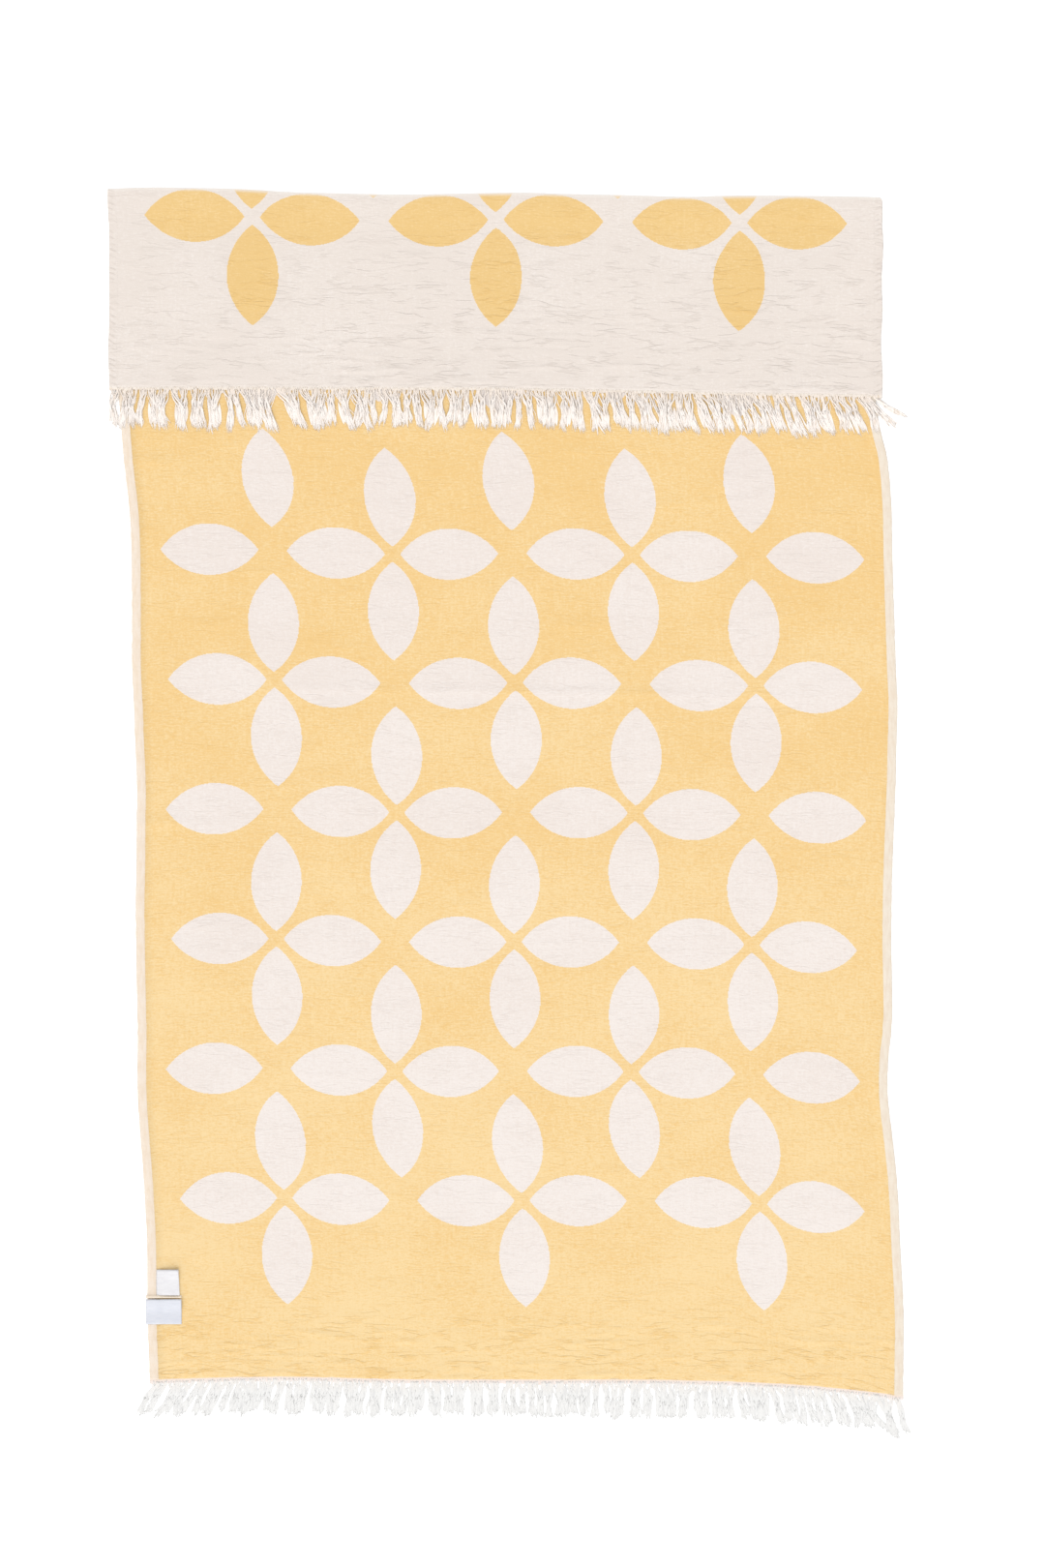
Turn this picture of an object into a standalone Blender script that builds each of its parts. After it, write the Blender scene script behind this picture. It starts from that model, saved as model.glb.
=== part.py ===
"""Hammam towel, laid face up on a surface with its top end folded over.

Metres. z = 0 is the surface, +Z is up, +Y runs towards the fold and +X to the right, seen from above.
The cloth is one folded sheet, its two side hems turned on it. Each fringe is a narrow heading with
its locks, and the two labels are sewn at the left hem. The origin is under the middle of them all.
"""
import math
import random
from collections import namedtuple

import bmesh
import bpy
import numpy as np
from mathutils import Matrix, Vector

# The cloth: a light double weave, single except at the hems, whose turning lies on the face.
CLOTH_THICK = 0.0012
HEM_THICK = 0.0022
HEM_WIDTH = 0.013
HEM_STEP = 0.0007       # width of the step from the hem down to the single cloth
FOLD_RADIUS = 0.0025    # outer radius of the fold
FOLD_STEPS = 8
FOLD_SETTLE = 0.050     # how far behind the fold the flap comes down
HEM_SETTLE = 0.060      # how far inside the hems it comes down
FLAP_TOP = 0.0032       # height of its upper side once it is down
FLAP_LEFT = -0.5237
FLAP_RIGHT = 0.4883
COLUMNS = 22
BODY_ROWS = 42
FLAP_ROWS = (0.04, 0.10, 0.18, 0.30, 0.45, 0.60, 0.75, 0.86, 0.94, 1.0)

# The body's side edges, drawn in and let out as the cloth lies.
Side = namedtuple("Side", "y left right")
BODY_SIDES = (
    Side(-0.755, -0.4725, 0.5142),
    Side(-0.654, -0.4750, 0.5142),
    Side(-0.521, -0.4763, 0.5079),
    Side(-0.433, -0.4813, 0.5003),
    Side(-0.344, -0.4864, 0.4927),
    Side(-0.256, -0.4877, 0.4990),
    Side(-0.034, -0.4864, 0.5003),
    Side(0.054, -0.4877, 0.5041),
    Side(0.143, -0.4915, 0.5066),
    Side(0.276, -0.4940, 0.5016),
    Side(0.364, -0.4952, 0.4990),
    Side(0.408, -0.4990, 0.4978),
    Side(0.453, -0.5028, 0.4940),
    Side(0.497, -0.5054, 0.4851),
    Side(0.811, -0.5243, 0.4877),
)

# The cross lines: where the cloth ends at the foot, where it folds, and where the flap ends.
Cross = namedtuple("Cross", "share foot fold flap_end")
CROSS_LINES = (
    Cross(0.00, -0.7426, 0.8145, 0.5541),
    Cross(0.17, -0.7388, 0.8121, 0.5545),
    Cross(0.33, -0.7420, 0.8060, 0.5540),
    Cross(0.50, -0.7426, 0.8068, 0.5534),
    Cross(0.75, -0.7445, 0.8045, 0.5484),
    Cross(0.87, -0.7501, 0.8033, 0.5460),
    Cross(1.00, -0.7636, 0.8020, 0.5440),
)

# Storage creases and tucks of the body, low ridges across part of its width.
Crease = namedtuple("Crease", "station start end lift")
CREASES = (
    Crease(0.252, 0.88, 1.08, 0.0022),
    Crease(0.470, -0.08, 0.32, 0.0014),
    Crease(0.580, -0.08, 1.08, 0.0015),
    Crease(0.678, 0.04, 0.28, 0.0012),
    Crease(0.775, -0.08, 0.10, 0.0014),
)
CREASE_HALF = 0.014     # half of a ridge, as a share of the body's length
CREASE_FADE = 0.07      # share of the width over which a ridge dies out at either end

# Puckers of the flap, nearly all along its end, where the heading has drawn the weave in.
Swell = namedtuple("Swell", "across along reach_across reach_along lift")
SWELLS = (
    Swell(0.16, 0.93, 0.10, 0.16, 0.0008),
    Swell(0.43, 0.96, 0.12, 0.16, 0.0013),
    Swell(0.66, 0.40, 0.16, 0.30, 0.0007),
    Swell(0.74, 0.97, 0.09, 0.14, 0.0009),
    Swell(0.90, 0.95, 0.10, 0.16, 0.0012),
)

# The fringes: cut warp threads in loose locks on a heading parted from the cloth's end.
EDGE_GAP = 0.0004
REST_GAP = 0.0003
HEADING_WIDTH = 0.0075
HEADING_THICK = 0.0012
LOCKS = 90
LOCK_WANDER = 0.0004    # how far a tip strays by itself
LOCK_CLING = 0.0024     # how far the tips of a clump draw together, for each pitch from its middle
LOCK_CLUMPS = (1, 2, 2, 3)
LOCK_UNEVEN = (0.88, 1.06)
LOCK_EDGE_CLEAR = 0.002
LOCK_DROP = 0.35        # power of a lock's way down: early onto the cloth under it,
LOCK_DROOP = 2.0        # and late where it hangs past the body's side
FLAP_SEED = 8
FOOT_SEED = 3
LockStation = namedtuple("LockStation", "share width thick")
LOCK_STATIONS = (
    LockStation(0.30, 0.0062, 0.0015),
    LockStation(0.70, 0.0070, 0.0016),
    LockStation(1.00, 0.0050, 0.0010),
)

# How far the locks lean to the right per length, along each end, and how long they are.
Lean = namedtuple("Lean", "share lean length")
FLAP_LEANS = (
    Lean(0.000, -0.05, 0.046),
    Lean(0.100, 0.02, 0.049),
    Lean(0.220, 0.28, 0.047),
    Lean(0.340, 0.10, 0.047),
    Lean(0.500, 0.05, 0.046),
    Lean(0.640, 0.22, 0.048),
    Lean(0.860, 0.34, 0.047),
    Lean(0.960, 0.36, 0.047),
    Lean(0.984, 0.60, 0.042),
    Lean(1.000, 1.50, 0.026),
)
FOOT_LEANS = (
    Lean(0.000, -0.56, 0.040),
    Lean(0.060, -0.42, 0.042),
    Lean(0.200, -0.15, 0.043),
    Lean(0.350, -0.05, 0.041),
    Lean(0.500, 0.04, 0.043),
    Lean(0.700, -0.04, 0.043),
    Lean(0.850, 0.26, 0.045),
    Lean(0.960, 0.38, 0.047),
    Lean(1.000, 0.46, 0.048),
)

# The labels. The small one is a folded tape, the care label a single one over the hem.
LABEL_THICK = 0.0010
SMALL_LABEL_WIDTH = 0.0300
SMALL_LABEL_TOP = -0.5971
SMALL_LABEL_HEIGHT = 0.0358
SMALL_LABEL_RADIUS = 0.0012
SMALL_LABEL_LIFT = 0.0030
CARE_LABEL_WIDTH = 0.0464
CARE_LABEL_TOP = -0.6370
CARE_LABEL_HEIGHT = 0.0335
CARE_LABEL_LIFT = 0.0032
CARE_LABEL_OVERHANG = 0.0012
LABEL_SLOPE = 0.010     # length over which the care label comes down from the hem
LABEL_DOWN = (0.0, 0.2, 0.4, 0.65, 1.0)     # stations down a label, as shares of its height
LABEL_RISES_BY = 0.6                        # share of its height over which its upper edge stands off
LABEL_FOLD_STEPS = 6

# Colours as seen, 0 to 255.
YELLOW = (251, 217, 158)
OFF_WHITE = (246, 242, 234)
LABEL_WHITE = (243, 242, 244)
SATIN_WHITE = (229, 231, 239)


def lerp(a, b, share):
    return a + (b - a) * share


def smooth(value):
    value = min(max(value, 0.0), 1.0)
    return value * value * (3.0 - 2.0 * value)


def read(table, key, place, column):
    """The value of a table's column at a place along its key column, on straight lines between rows."""
    keys = [getattr(row, key) for row in table]
    return float(np.interp(place, keys, [getattr(row, column) for row in table]))


def flow(table, key, place, column):
    """The same on a smooth curve through the rows, for the lines that the cloth's edges follow."""
    keys = np.array([getattr(row, key) for row in table])
    values = np.array([getattr(row, column) for row in table])
    slopes = np.gradient(values, keys)
    place = min(max(place, keys[0]), keys[-1])
    k = min(int(np.searchsorted(keys, place, side="right")) - 1, len(keys) - 2)
    span = keys[k + 1] - keys[k]
    t = (place - keys[k]) / span
    start = (1 + 2 * t) * (1 - t) ** 2 * values[k] + t * (1 - t) ** 2 * span * slopes[k]
    end = t * t * (3 - 2 * t) * values[k + 1] - t * t * (1 - t) * span * slopes[k + 1]
    return float(start + end)


def material(name, colour, roughness):
    """A cloth or yarn material with the colour given as seen."""
    made = bpy.data.materials.new(name)
    made.use_nodes = True
    shader = made.node_tree.nodes["Principled BSDF"]
    linear = [((part / 255 + 0.055) / 1.055) ** 2.4 for part in colour]
    shader.inputs["Base Color"].default_value = (*linear, 1.0)
    shader.inputs["Roughness"].default_value = roughness
    shader.inputs["Metallic"].default_value = 0.0
    return made


def add_object(name, bm, look, collection):
    mesh = bpy.data.meshes.new(name)
    bm.to_mesh(mesh)
    bm.free()
    mesh.materials.append(look)
    made = bpy.data.objects.new(name, mesh)
    collection.objects.link(made)
    return made


def thicken(made, thick, thin_share=1.0):
    """Give an open sheet its thickness on the side it faces, thinner outside the group "thick"."""
    shell = made.modifiers.new("thickness", "SOLIDIFY")
    shell.thickness = thick
    shell.offset = 1.0
    shell.use_even_offset = True
    shell.use_quality_normals = True
    if thin_share < 1.0:
        shell.vertex_group = "thick"
        shell.thickness_vertex_group = thin_share


def sheet(columns, rows, place):
    """A grid sheet whose points are placed by their column and row."""
    bm = bmesh.new()
    wide, long = len(columns) - 1, len(rows) - 1
    bmesh.ops.create_grid(bm, x_segments=wide, y_segments=long, size=0.5)
    for vertex in bm.verts:
        column = columns[round((vertex.co.x + 0.5) * wide)]
        row = rows[round((vertex.co.y + 0.5) * long)]
        vertex.co = place(column, row)
    return bm


def column_stations():
    """Places across the cloth: a share of its width and an inset from there."""
    hem = (0.0, HEM_WIDTH, HEM_WIDTH + HEM_STEP)
    left = [(0.0, inset) for inset in hem]
    right = [(1.0, -inset) for inset in reversed(hem)]
    return left + [(k / COLUMNS, 0.0) for k in range(1, COLUMNS)] + right


def row_stations():
    """Places along the cloth from its foot over the fold to the flap's end: a zone and a place in it."""
    ridges = [c.station + step for c in CREASES for step in (-CREASE_HALF, 0.0, CREASE_HALF)]
    even = [k / BODY_ROWS for k in range(BODY_ROWS + 1)]
    body = sorted(ridges + [t for t in even if min(abs(t - r) for r in ridges) > CREASE_HALF])
    rows = [("body", t) for t in body]
    rows += [("fold", math.pi * k / FOLD_STEPS) for k in range(1, FOLD_STEPS + 1)]
    return rows + [("flap", t) for t in FLAP_ROWS]


def body_lift(share, station):
    """Height of the body's underside over the surface: nothing, but for its creases."""
    lift = 0.0
    for crease in CREASES:
        ridge = 1.0 - abs(station - crease.station) / CREASE_HALF
        inside = min(share - crease.start, crease.end - share) / CREASE_FADE
        lift = max(lift, crease.lift * max(ridge, 0.0) * smooth(inside))
    return lift


def flap_height(share, along, from_side, from_fold):
    """Height of the flap's upper side, high at the fold and the hems, with its puckers."""
    by_side = 1.0 - smooth((from_side - HEM_WIDTH - HEM_STEP) / HEM_SETTLE)
    by_fold = 1.0 - smooth(from_fold / FOLD_SETTLE)
    held = max(by_side, by_fold)
    height = lerp(FLAP_TOP, 2 * FOLD_RADIUS, held)
    for swell in SWELLS:
        across = (share - swell.across) / swell.reach_across
        behind = (along - swell.along) / swell.reach_along
        height += swell.lift * smooth(1.0 - math.hypot(across, behind)) * (1.0 - held)
    return height


def cloth_point(column, row):
    """A point of the cloth's reverse, which is underneath in the body and on top in the flap."""
    share, inset = column
    zone, place = row
    foot = flow(CROSS_LINES, "share", share, "foot")
    fold = flow(CROSS_LINES, "share", share, "fold") - FOLD_RADIUS
    if zone == "body":
        y = lerp(foot, fold, place)
        left, right = (flow(BODY_SIDES, "y", y, side) for side in ("left", "right"))
        return Vector((lerp(left, right, share) + inset, y, body_lift(share, place)))
    if zone == "fold":
        x = lerp(BODY_SIDES[-1].left, BODY_SIDES[-1].right, share) + inset
        rise = FOLD_RADIUS * (1.0 - math.cos(place))
        return Vector((x, fold + FOLD_RADIUS * math.sin(place), rise))
    y = lerp(fold, flow(CROSS_LINES, "share", share, "flap_end"), place)
    x = lerp(FLAP_LEFT, FLAP_RIGHT, share) + inset
    from_side = min(x - FLAP_LEFT, FLAP_RIGHT - x)
    return Vector((x, y, flap_height(share, place, from_side, fold - y)))


def towel_cloth(look, collection):
    """The folded cloth. Its face side, where the hems are turned, is the one that grows."""
    columns = column_stations()
    rows = row_stations()
    bm = sheet(columns, rows, cloth_point)
    made = add_object("towel_cloth", bm, look, collection)
    hems = made.vertex_groups.new(name="thick")
    in_hem = [abs(inset) <= HEM_WIDTH and share in (0.0, 1.0) for share, inset in columns]
    numbers = [k for k in range(len(made.data.vertices)) if in_hem[k % len(columns)]]
    hems.add(numbers, 1.0, "REPLACE")
    thicken(made, HEM_THICK, CLOTH_THICK / HEM_THICK)
    return made


def end_line(row):
    """The points of one end of the cloth, from left to right."""
    return [cloth_point(column, row) for column in column_stations()]


def along_line(line, x, axis):
    return float(np.interp(x, [point.x for point in line], [point[axis] for point in line]))


def body_rest(x, y, half_width):
    """Height at which a lock of the flap lies: on the body, on its hem, or past its side."""
    inside = min(x - flow(BODY_SIDES, "y", y, "left"), flow(BODY_SIDES, "y", y, "right") - x)
    if inside < -half_width - LOCK_EDGE_CLEAR:
        return REST_GAP
    if inside < HEM_WIDTH + HEM_STEP + half_width + LOCK_EDGE_CLEAR:
        return HEM_THICK + REST_GAP
    return CLOTH_THICK + REST_GAP


def heading(line, base):
    """The narrow strip along an end, cut into cells: every second one carries a lock."""
    bm = bmesh.new()
    cells = 2 * LOCKS + 1
    bmesh.ops.create_grid(bm, x_segments=cells, y_segments=1, size=0.5)
    for vertex in bm.verts:
        x = lerp(line[0].x, line[-1].x, vertex.co.x + 0.5)
        y = along_line(line, x, 1) - EDGE_GAP - HEADING_WIDTH * (0.5 - vertex.co.y)
        vertex.co = (x, y, base(x))
    raised = bmesh.ops.extrude_face_region(bm, geom=bm.faces[:])["geom"]
    points = [part for part in raised if isinstance(part, bmesh.types.BMVert)]
    bmesh.ops.translate(bm, verts=points, vec=(0.0, 0.0, HEADING_THICK))
    bmesh.ops.recalc_face_normals(bm, faces=bm.faces[:])
    return bm


def lock_roots(bm):
    """The heading's front faces that carry locks, from left to right."""
    front = [face for face in bm.faces if face.normal.y < -0.5]
    front.sort(key=lambda face: face.calc_center_median().x)
    return front[1::2]


def clump_places(chance):
    """For each lock, how many pitches it stands from the middle of the clump that it clings to."""
    places = []
    while len(places) < LOCKS:
        size = chance.choice(LOCK_CLUMPS)
        places += [k - (size - 1) / 2 for k in range(size)]
    return places[:LOCKS]


def grow_lock(bm, root, lean, length, wander, rest):
    """Draw one lock out of its root, down onto what it lies on."""
    start = root.calc_center_median()
    root_base = min(vertex.co.z for vertex in root.verts)
    face = root
    for station in LOCK_STATIONS:
        x = start.x + (lean * length + wander) * station.share
        y = start.y - length * station.share
        bottom = rest(x, y, station.width / 2)
        slack = LOCK_DROOP if bottom == REST_GAP else LOCK_DROP
        base = lerp(root_base, bottom, station.share ** slack)
        middle = face.calc_center_median()
        face = bmesh.ops.extrude_discrete_faces(bm, faces=[face])["faces"][0]
        for vertex in face.verts:
            side = 0.5 if vertex.co.x > middle.x else -0.5
            top = station.thick if vertex.co.z > middle.z else 0.0
            vertex.co = (x + side * station.width, y, base + top)


def add_locks(bm, leans, chance, rest):
    """Draw all the locks of a fringe out of its heading."""
    places = clump_places(chance)
    for number, root in enumerate(lock_roots(bm)):
        share = number / (LOCKS - 1)
        lean = read(leans, "share", share, "lean")
        length = read(leans, "share", share, "length") * chance.uniform(*LOCK_UNEVEN)
        wander = chance.uniform(-LOCK_WANDER, LOCK_WANDER) - LOCK_CLING * places[number]
        grow_lock(bm, root, lean, length, wander, rest)


def foot_fringe(look, collection):
    """The fringe past the foot end: it lies level on the surface all along."""
    chance = random.Random(FOOT_SEED)
    bm = heading(end_line(("body", 0.0)), lambda x: 0.0)
    add_locks(bm, FOOT_LEANS, chance, lambda x, y, half_width: 0.0)
    return add_object("fringe_foot", bm, look, collection)


def flap_fringe(look, collection):
    """The fringe past the flap's end: it comes down from there onto the body."""
    chance = random.Random(FLAP_SEED)
    line = end_line(("flap", 1.0))
    bm = heading(line, lambda x: along_line(line, x, 2) - HEADING_THICK)
    add_locks(bm, FLAP_LEANS, chance, body_rest)
    return add_object("fringe_flap", bm, look, collection)


def small_label(look, collection):
    """A folded tape: its lower layer on the cloth, its fold to the right, one corner standing up."""
    base = CLOTH_THICK + REST_GAP
    left = flow(BODY_SIDES, "y", SMALL_LABEL_TOP, "left") + HEM_WIDTH + 2 * HEM_STEP
    span = SMALL_LABEL_WIDTH - SMALL_LABEL_RADIUS
    layer = (0.0, 0.35, 0.7, 1.0)
    rows = [("lower", t) for t in layer]
    rows += [("fold", math.pi * k / LABEL_FOLD_STEPS) for k in range(1, LABEL_FOLD_STEPS)]
    rows += [("upper", t) for t in reversed(layer)]

    def place(down, row):
        zone, t = row
        y = SMALL_LABEL_TOP - SMALL_LABEL_HEIGHT * down
        raised = SMALL_LABEL_LIFT * smooth(1.0 - down / LABEL_RISES_BY)
        if zone == "lower":
            return (left + span * t, y, base)
        if zone == "fold":
            rise = (SMALL_LABEL_RADIUS + raised / 2) * (1.0 - math.cos(t))
            return (left + span + SMALL_LABEL_RADIUS * math.sin(t), y, base + rise)
        return (left + span * t, y, base + 2 * SMALL_LABEL_RADIUS + raised * smooth(t))

    bm = sheet(LABEL_DOWN, rows, place)
    made = add_object("label_small", bm, look, collection)
    thicken(made, LABEL_THICK)
    return made


def care_label(look, collection):
    """A single satin label from the towel's side over the hem, its upper edge standing off."""
    side = flow(BODY_SIDES, "y", CARE_LABEL_TOP, "left")
    left = side - CARE_LABEL_OVERHANG
    hem_end = side + HEM_WIDTH + HEM_STEP + REST_GAP
    over_hem = hem_end - left
    rows = [0.0, over_hem / 2, over_hem, over_hem + LABEL_SLOPE / 2, over_hem + LABEL_SLOPE]
    rows += [CARE_LABEL_WIDTH * 0.8, CARE_LABEL_WIDTH]

    def place(down, out):
        over = 1.0 - smooth((left + out - hem_end) / LABEL_SLOPE)
        raised = CARE_LABEL_LIFT * smooth(1.0 - down / LABEL_RISES_BY)
        z = REST_GAP + lerp(CLOTH_THICK, HEM_THICK, over) + raised
        return (left + out, CARE_LABEL_TOP - CARE_LABEL_HEIGHT * down, z)

    bm = sheet(LABEL_DOWN, rows, place)
    made = add_object("label_care", bm, look, collection)
    thicken(made, LABEL_THICK)
    return made


def centre(parts):
    """Move all the parts so that the origin is under the middle of their box."""
    points = np.array([vertex.co for part in parts for vertex in part.data.vertices])
    middle = (points.min(axis=0) + points.max(axis=0)) / 2
    for part in parts:
        part.data.transform(Matrix.Translation((-middle[0], -middle[1], 0.0)))


def main():
    for old in list(bpy.data.objects):
        bpy.data.objects.remove(old)
    towel = bpy.data.collections.new("hammam_towel")
    bpy.context.scene.collection.children.link(towel)
    woven = material("woven_cotton", YELLOW, 0.9)
    yarn = material("cotton_yarn", OFF_WHITE, 0.9)
    tape = material("label_tape", LABEL_WHITE, 0.6)
    satin = material("label_satin", SATIN_WHITE, 0.4)
    parts = [towel_cloth(woven, towel), flap_fringe(yarn, towel), foot_fringe(yarn, towel)]
    parts += [small_label(tape, towel), care_label(satin, towel)]
    centre(parts)


main()
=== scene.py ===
import math
import random
from collections import namedtuple

import bmesh
import bpy
import numpy as np
from mathutils import Matrix, Vector, noise


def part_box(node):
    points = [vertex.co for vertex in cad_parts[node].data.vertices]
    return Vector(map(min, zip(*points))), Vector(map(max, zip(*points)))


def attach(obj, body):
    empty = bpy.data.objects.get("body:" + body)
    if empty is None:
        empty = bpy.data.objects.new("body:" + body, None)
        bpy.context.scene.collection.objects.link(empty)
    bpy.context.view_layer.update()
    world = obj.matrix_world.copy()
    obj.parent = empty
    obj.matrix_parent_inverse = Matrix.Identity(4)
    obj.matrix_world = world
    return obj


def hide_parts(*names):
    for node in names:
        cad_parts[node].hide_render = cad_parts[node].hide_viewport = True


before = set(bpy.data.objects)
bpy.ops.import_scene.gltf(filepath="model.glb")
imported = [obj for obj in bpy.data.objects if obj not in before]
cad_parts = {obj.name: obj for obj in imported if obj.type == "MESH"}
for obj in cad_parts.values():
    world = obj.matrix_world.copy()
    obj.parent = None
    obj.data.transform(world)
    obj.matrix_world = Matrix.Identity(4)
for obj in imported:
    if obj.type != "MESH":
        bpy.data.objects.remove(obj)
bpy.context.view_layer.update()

# ----------------------------------------------------------------------------------------------------
# THE CLOTH
# A light cotton double weave with a crinkled muslin hand: yellow on its face, cream on its reverse, and
# the two layers change places in the motifs. It lies face up with its top end folded over, so that the
# reverse shows there. Its side hems are turned onto the face and sewn down.
# ----------------------------------------------------------------------------------------------------
CLOTH_WIDTH = 1.0
BODY_LENGTH = 1.5430
FLAP_LENGTH = 0.2470
CLOTH_THICK = 0.0009
HEM_THICK = 0.0019
HEM_WIDTH = 0.0116
HEM_STEP = 0.0007           # width of the step from a hem down to the single cloth
FOLD_RADIUS = 0.0025        # half the fold's height
FOLD_REACH = 0.0055         # how far its round reaches
FOLD_STEPS = 14
FOLD_SETTLE = 0.050         # how far behind the fold the flap comes down
HEM_SETTLE = 0.060          # how far inside the hems it comes down
FLAP_TOP = 0.0032           # height of its upper side once it is down
CORNER_ROUND = 0.0040       # radius of the fold's right corner
BODY_REST = 0.0004          # how far the crinkles hold the body off the surface
BODY_LOWEST = 0.00005       # how near the body comes to the surface in its troughs

# The outline as it lies: both sides of the body and of the flap at each y, and at each share of the width
# the foot, the fold and the flap's end.
Side = namedtuple("Side", "y left right")
BODY_SIDES = (
    Side(-0.754, -0.4698, 0.5146),
    Side(-0.724, -0.4706, 0.5148),
    Side(-0.673, -0.4726, 0.5154),
    Side(-0.622, -0.4731, 0.5138),
    Side(-0.572, -0.4734, 0.5109),
    Side(-0.521, -0.4756, 0.5088),
    Side(-0.471, -0.4786, 0.5054),
    Side(-0.420, -0.4826, 0.4997),
    Side(-0.369, -0.4859, 0.4944),
    Side(-0.319, -0.4861, 0.4956),
    Side(-0.293, -0.4857, 0.4986),
    Side(-0.268, -0.4862, 0.5002),
    Side(-0.218, -0.4873, 0.4998),
    Side(-0.167, -0.4881, 0.4990),
    Side(-0.116, -0.4884, 0.4995),
    Side(-0.066, -0.4875, 0.5007),
    Side(-0.015, -0.4872, 0.5028),
    Side(0.035, -0.4868, 0.5047),
    Side(0.086, -0.4890, 0.5058),
    Side(0.137, -0.4908, 0.5070),
    Side(0.187, -0.4932, 0.5051),
    Side(0.238, -0.4933, 0.5034),
    Side(0.288, -0.4935, 0.5018),
    Side(0.339, -0.4940, 0.5004),
    Side(0.390, -0.4963, 0.4995),
    Side(0.440, -0.5018, 0.4962),
    Side(0.466, -0.5045, 0.4927),
    Side(0.491, -0.5066, 0.4864),
    Side(0.811, -0.5248, 0.4872),
)
FLAP_SIDES = (
    Side(0.544, -0.5224, 0.4870),
    Side(0.573, -0.5230, 0.4872),
    Side(0.592, -0.5237, 0.4860),
    Side(0.611, -0.5237, 0.4851),
    Side(0.636, -0.5228, 0.4864),
    Side(0.662, -0.5225, 0.4871),
    Side(0.687, -0.5227, 0.4860),
    Side(0.712, -0.5228, 0.4867),
    Side(0.738, -0.5227, 0.4883),
    Side(0.763, -0.5231, 0.4869),
    Side(0.788, -0.5243, 0.4873),
    Side(0.815, -0.5250, 0.4870),
)
Cross = namedtuple("Cross", "share foot fold flap_end")
CROSS_LINES = (
    Cross(0.00, -0.7426, 0.8128, 0.5541),
    Cross(0.04, -0.7415, 0.8141, 0.5542),
    Cross(0.12, -0.7394, 0.8136, 0.5545),
    Cross(0.19, -0.7389, 0.8114, 0.5545),
    Cross(0.23, -0.7396, 0.8086, 0.5544),
    Cross(0.30, -0.7415, 0.8066, 0.5541),
    Cross(0.38, -0.7424, 0.8051, 0.5539),
    Cross(0.45, -0.7425, 0.8062, 0.5537),
    Cross(0.53, -0.7427, 0.8076, 0.5530),
    Cross(0.60, -0.7426, 0.8057, 0.5518),
    Cross(0.68, -0.7430, 0.8040, 0.5499),
    Cross(0.75, -0.7445, 0.8021, 0.5484),
    Cross(0.80, -0.7463, 0.8036, 0.5474),
    Cross(0.88, -0.7509, 0.8035, 0.5458),
    Cross(0.94, -0.7569, 0.8028, 0.5449),
    Cross(1.00, -0.7636, 0.8016, 0.5440),
)

# Where the flap swells off the body, in shares of its width and length.
Swell = namedtuple("Swell", "across along reach_across reach_along lift")
SWELLS = (
    Swell(0.16, 0.93, 0.10, 0.16, 0.0008),
    Swell(0.43, 0.96, 0.12, 0.16, 0.0013),
    Swell(0.66, 0.40, 0.16, 0.30, 0.0007),
    Swell(0.74, 0.97, 0.09, 0.14, 0.0009),
    Swell(0.90, 0.95, 0.10, 0.16, 0.0012),
)

# Creases as they lie: the middle of each, its turn in degrees, its length, its half width and its lift.
Crease = namedtuple("Crease", "x y turn length half lift")
FLAP_CREASES = (
    Crease(-0.228, 0.610, -3, 0.042, 0.0026, 0.0005),
    Crease(-0.223, 0.588, -2, 0.094, 0.0026, 0.0005),
    Crease(-0.152, 0.577, 3, 0.085, 0.0030, 0.0008),
    Crease(-0.097, 0.584, 22, 0.027, 0.0030, 0.0007),
    Crease(-0.049, 0.561, 3, 0.063, 0.0030, 0.0009),
    Crease(-0.175, 0.562, -3, 0.054, 0.0026, 0.0006),
    Crease(-0.206, 0.570, 0, 0.072, 0.0026, -0.0005),
    Crease(0.036, 0.579, 0, 0.139, 0.0028, 0.0006),
    Crease(0.145, 0.581, 3, 0.080, 0.0028, 0.0006),
    Crease(0.194, 0.566, -8, 0.043, 0.0030, 0.0009),
    Crease(-0.021, 0.557, -2, 0.089, 0.0026, -0.0006),
    Crease(0.285, 0.617, 0, 0.047, 0.0026, 0.0005),
    Crease(0.055, 0.621, 0, 0.076, 0.0026, 0.0004),
    Crease(0.378, 0.553, 0, 0.063, 0.0030, 0.0008),
    Crease(0.321, 0.551, -3, 0.051, 0.0026, 0.0007),
    Crease(0.441, 0.550, -3, 0.063, 0.0026, 0.0007),
    Crease(-0.290, 0.621, 0, 0.025, 0.0026, 0.0004),
    Crease(-0.396, 0.563, 0, 0.067, 0.0026, 0.0005),
    Crease(-0.341, 0.659, 0, 0.025, 0.0026, 0.0004),
)
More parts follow.
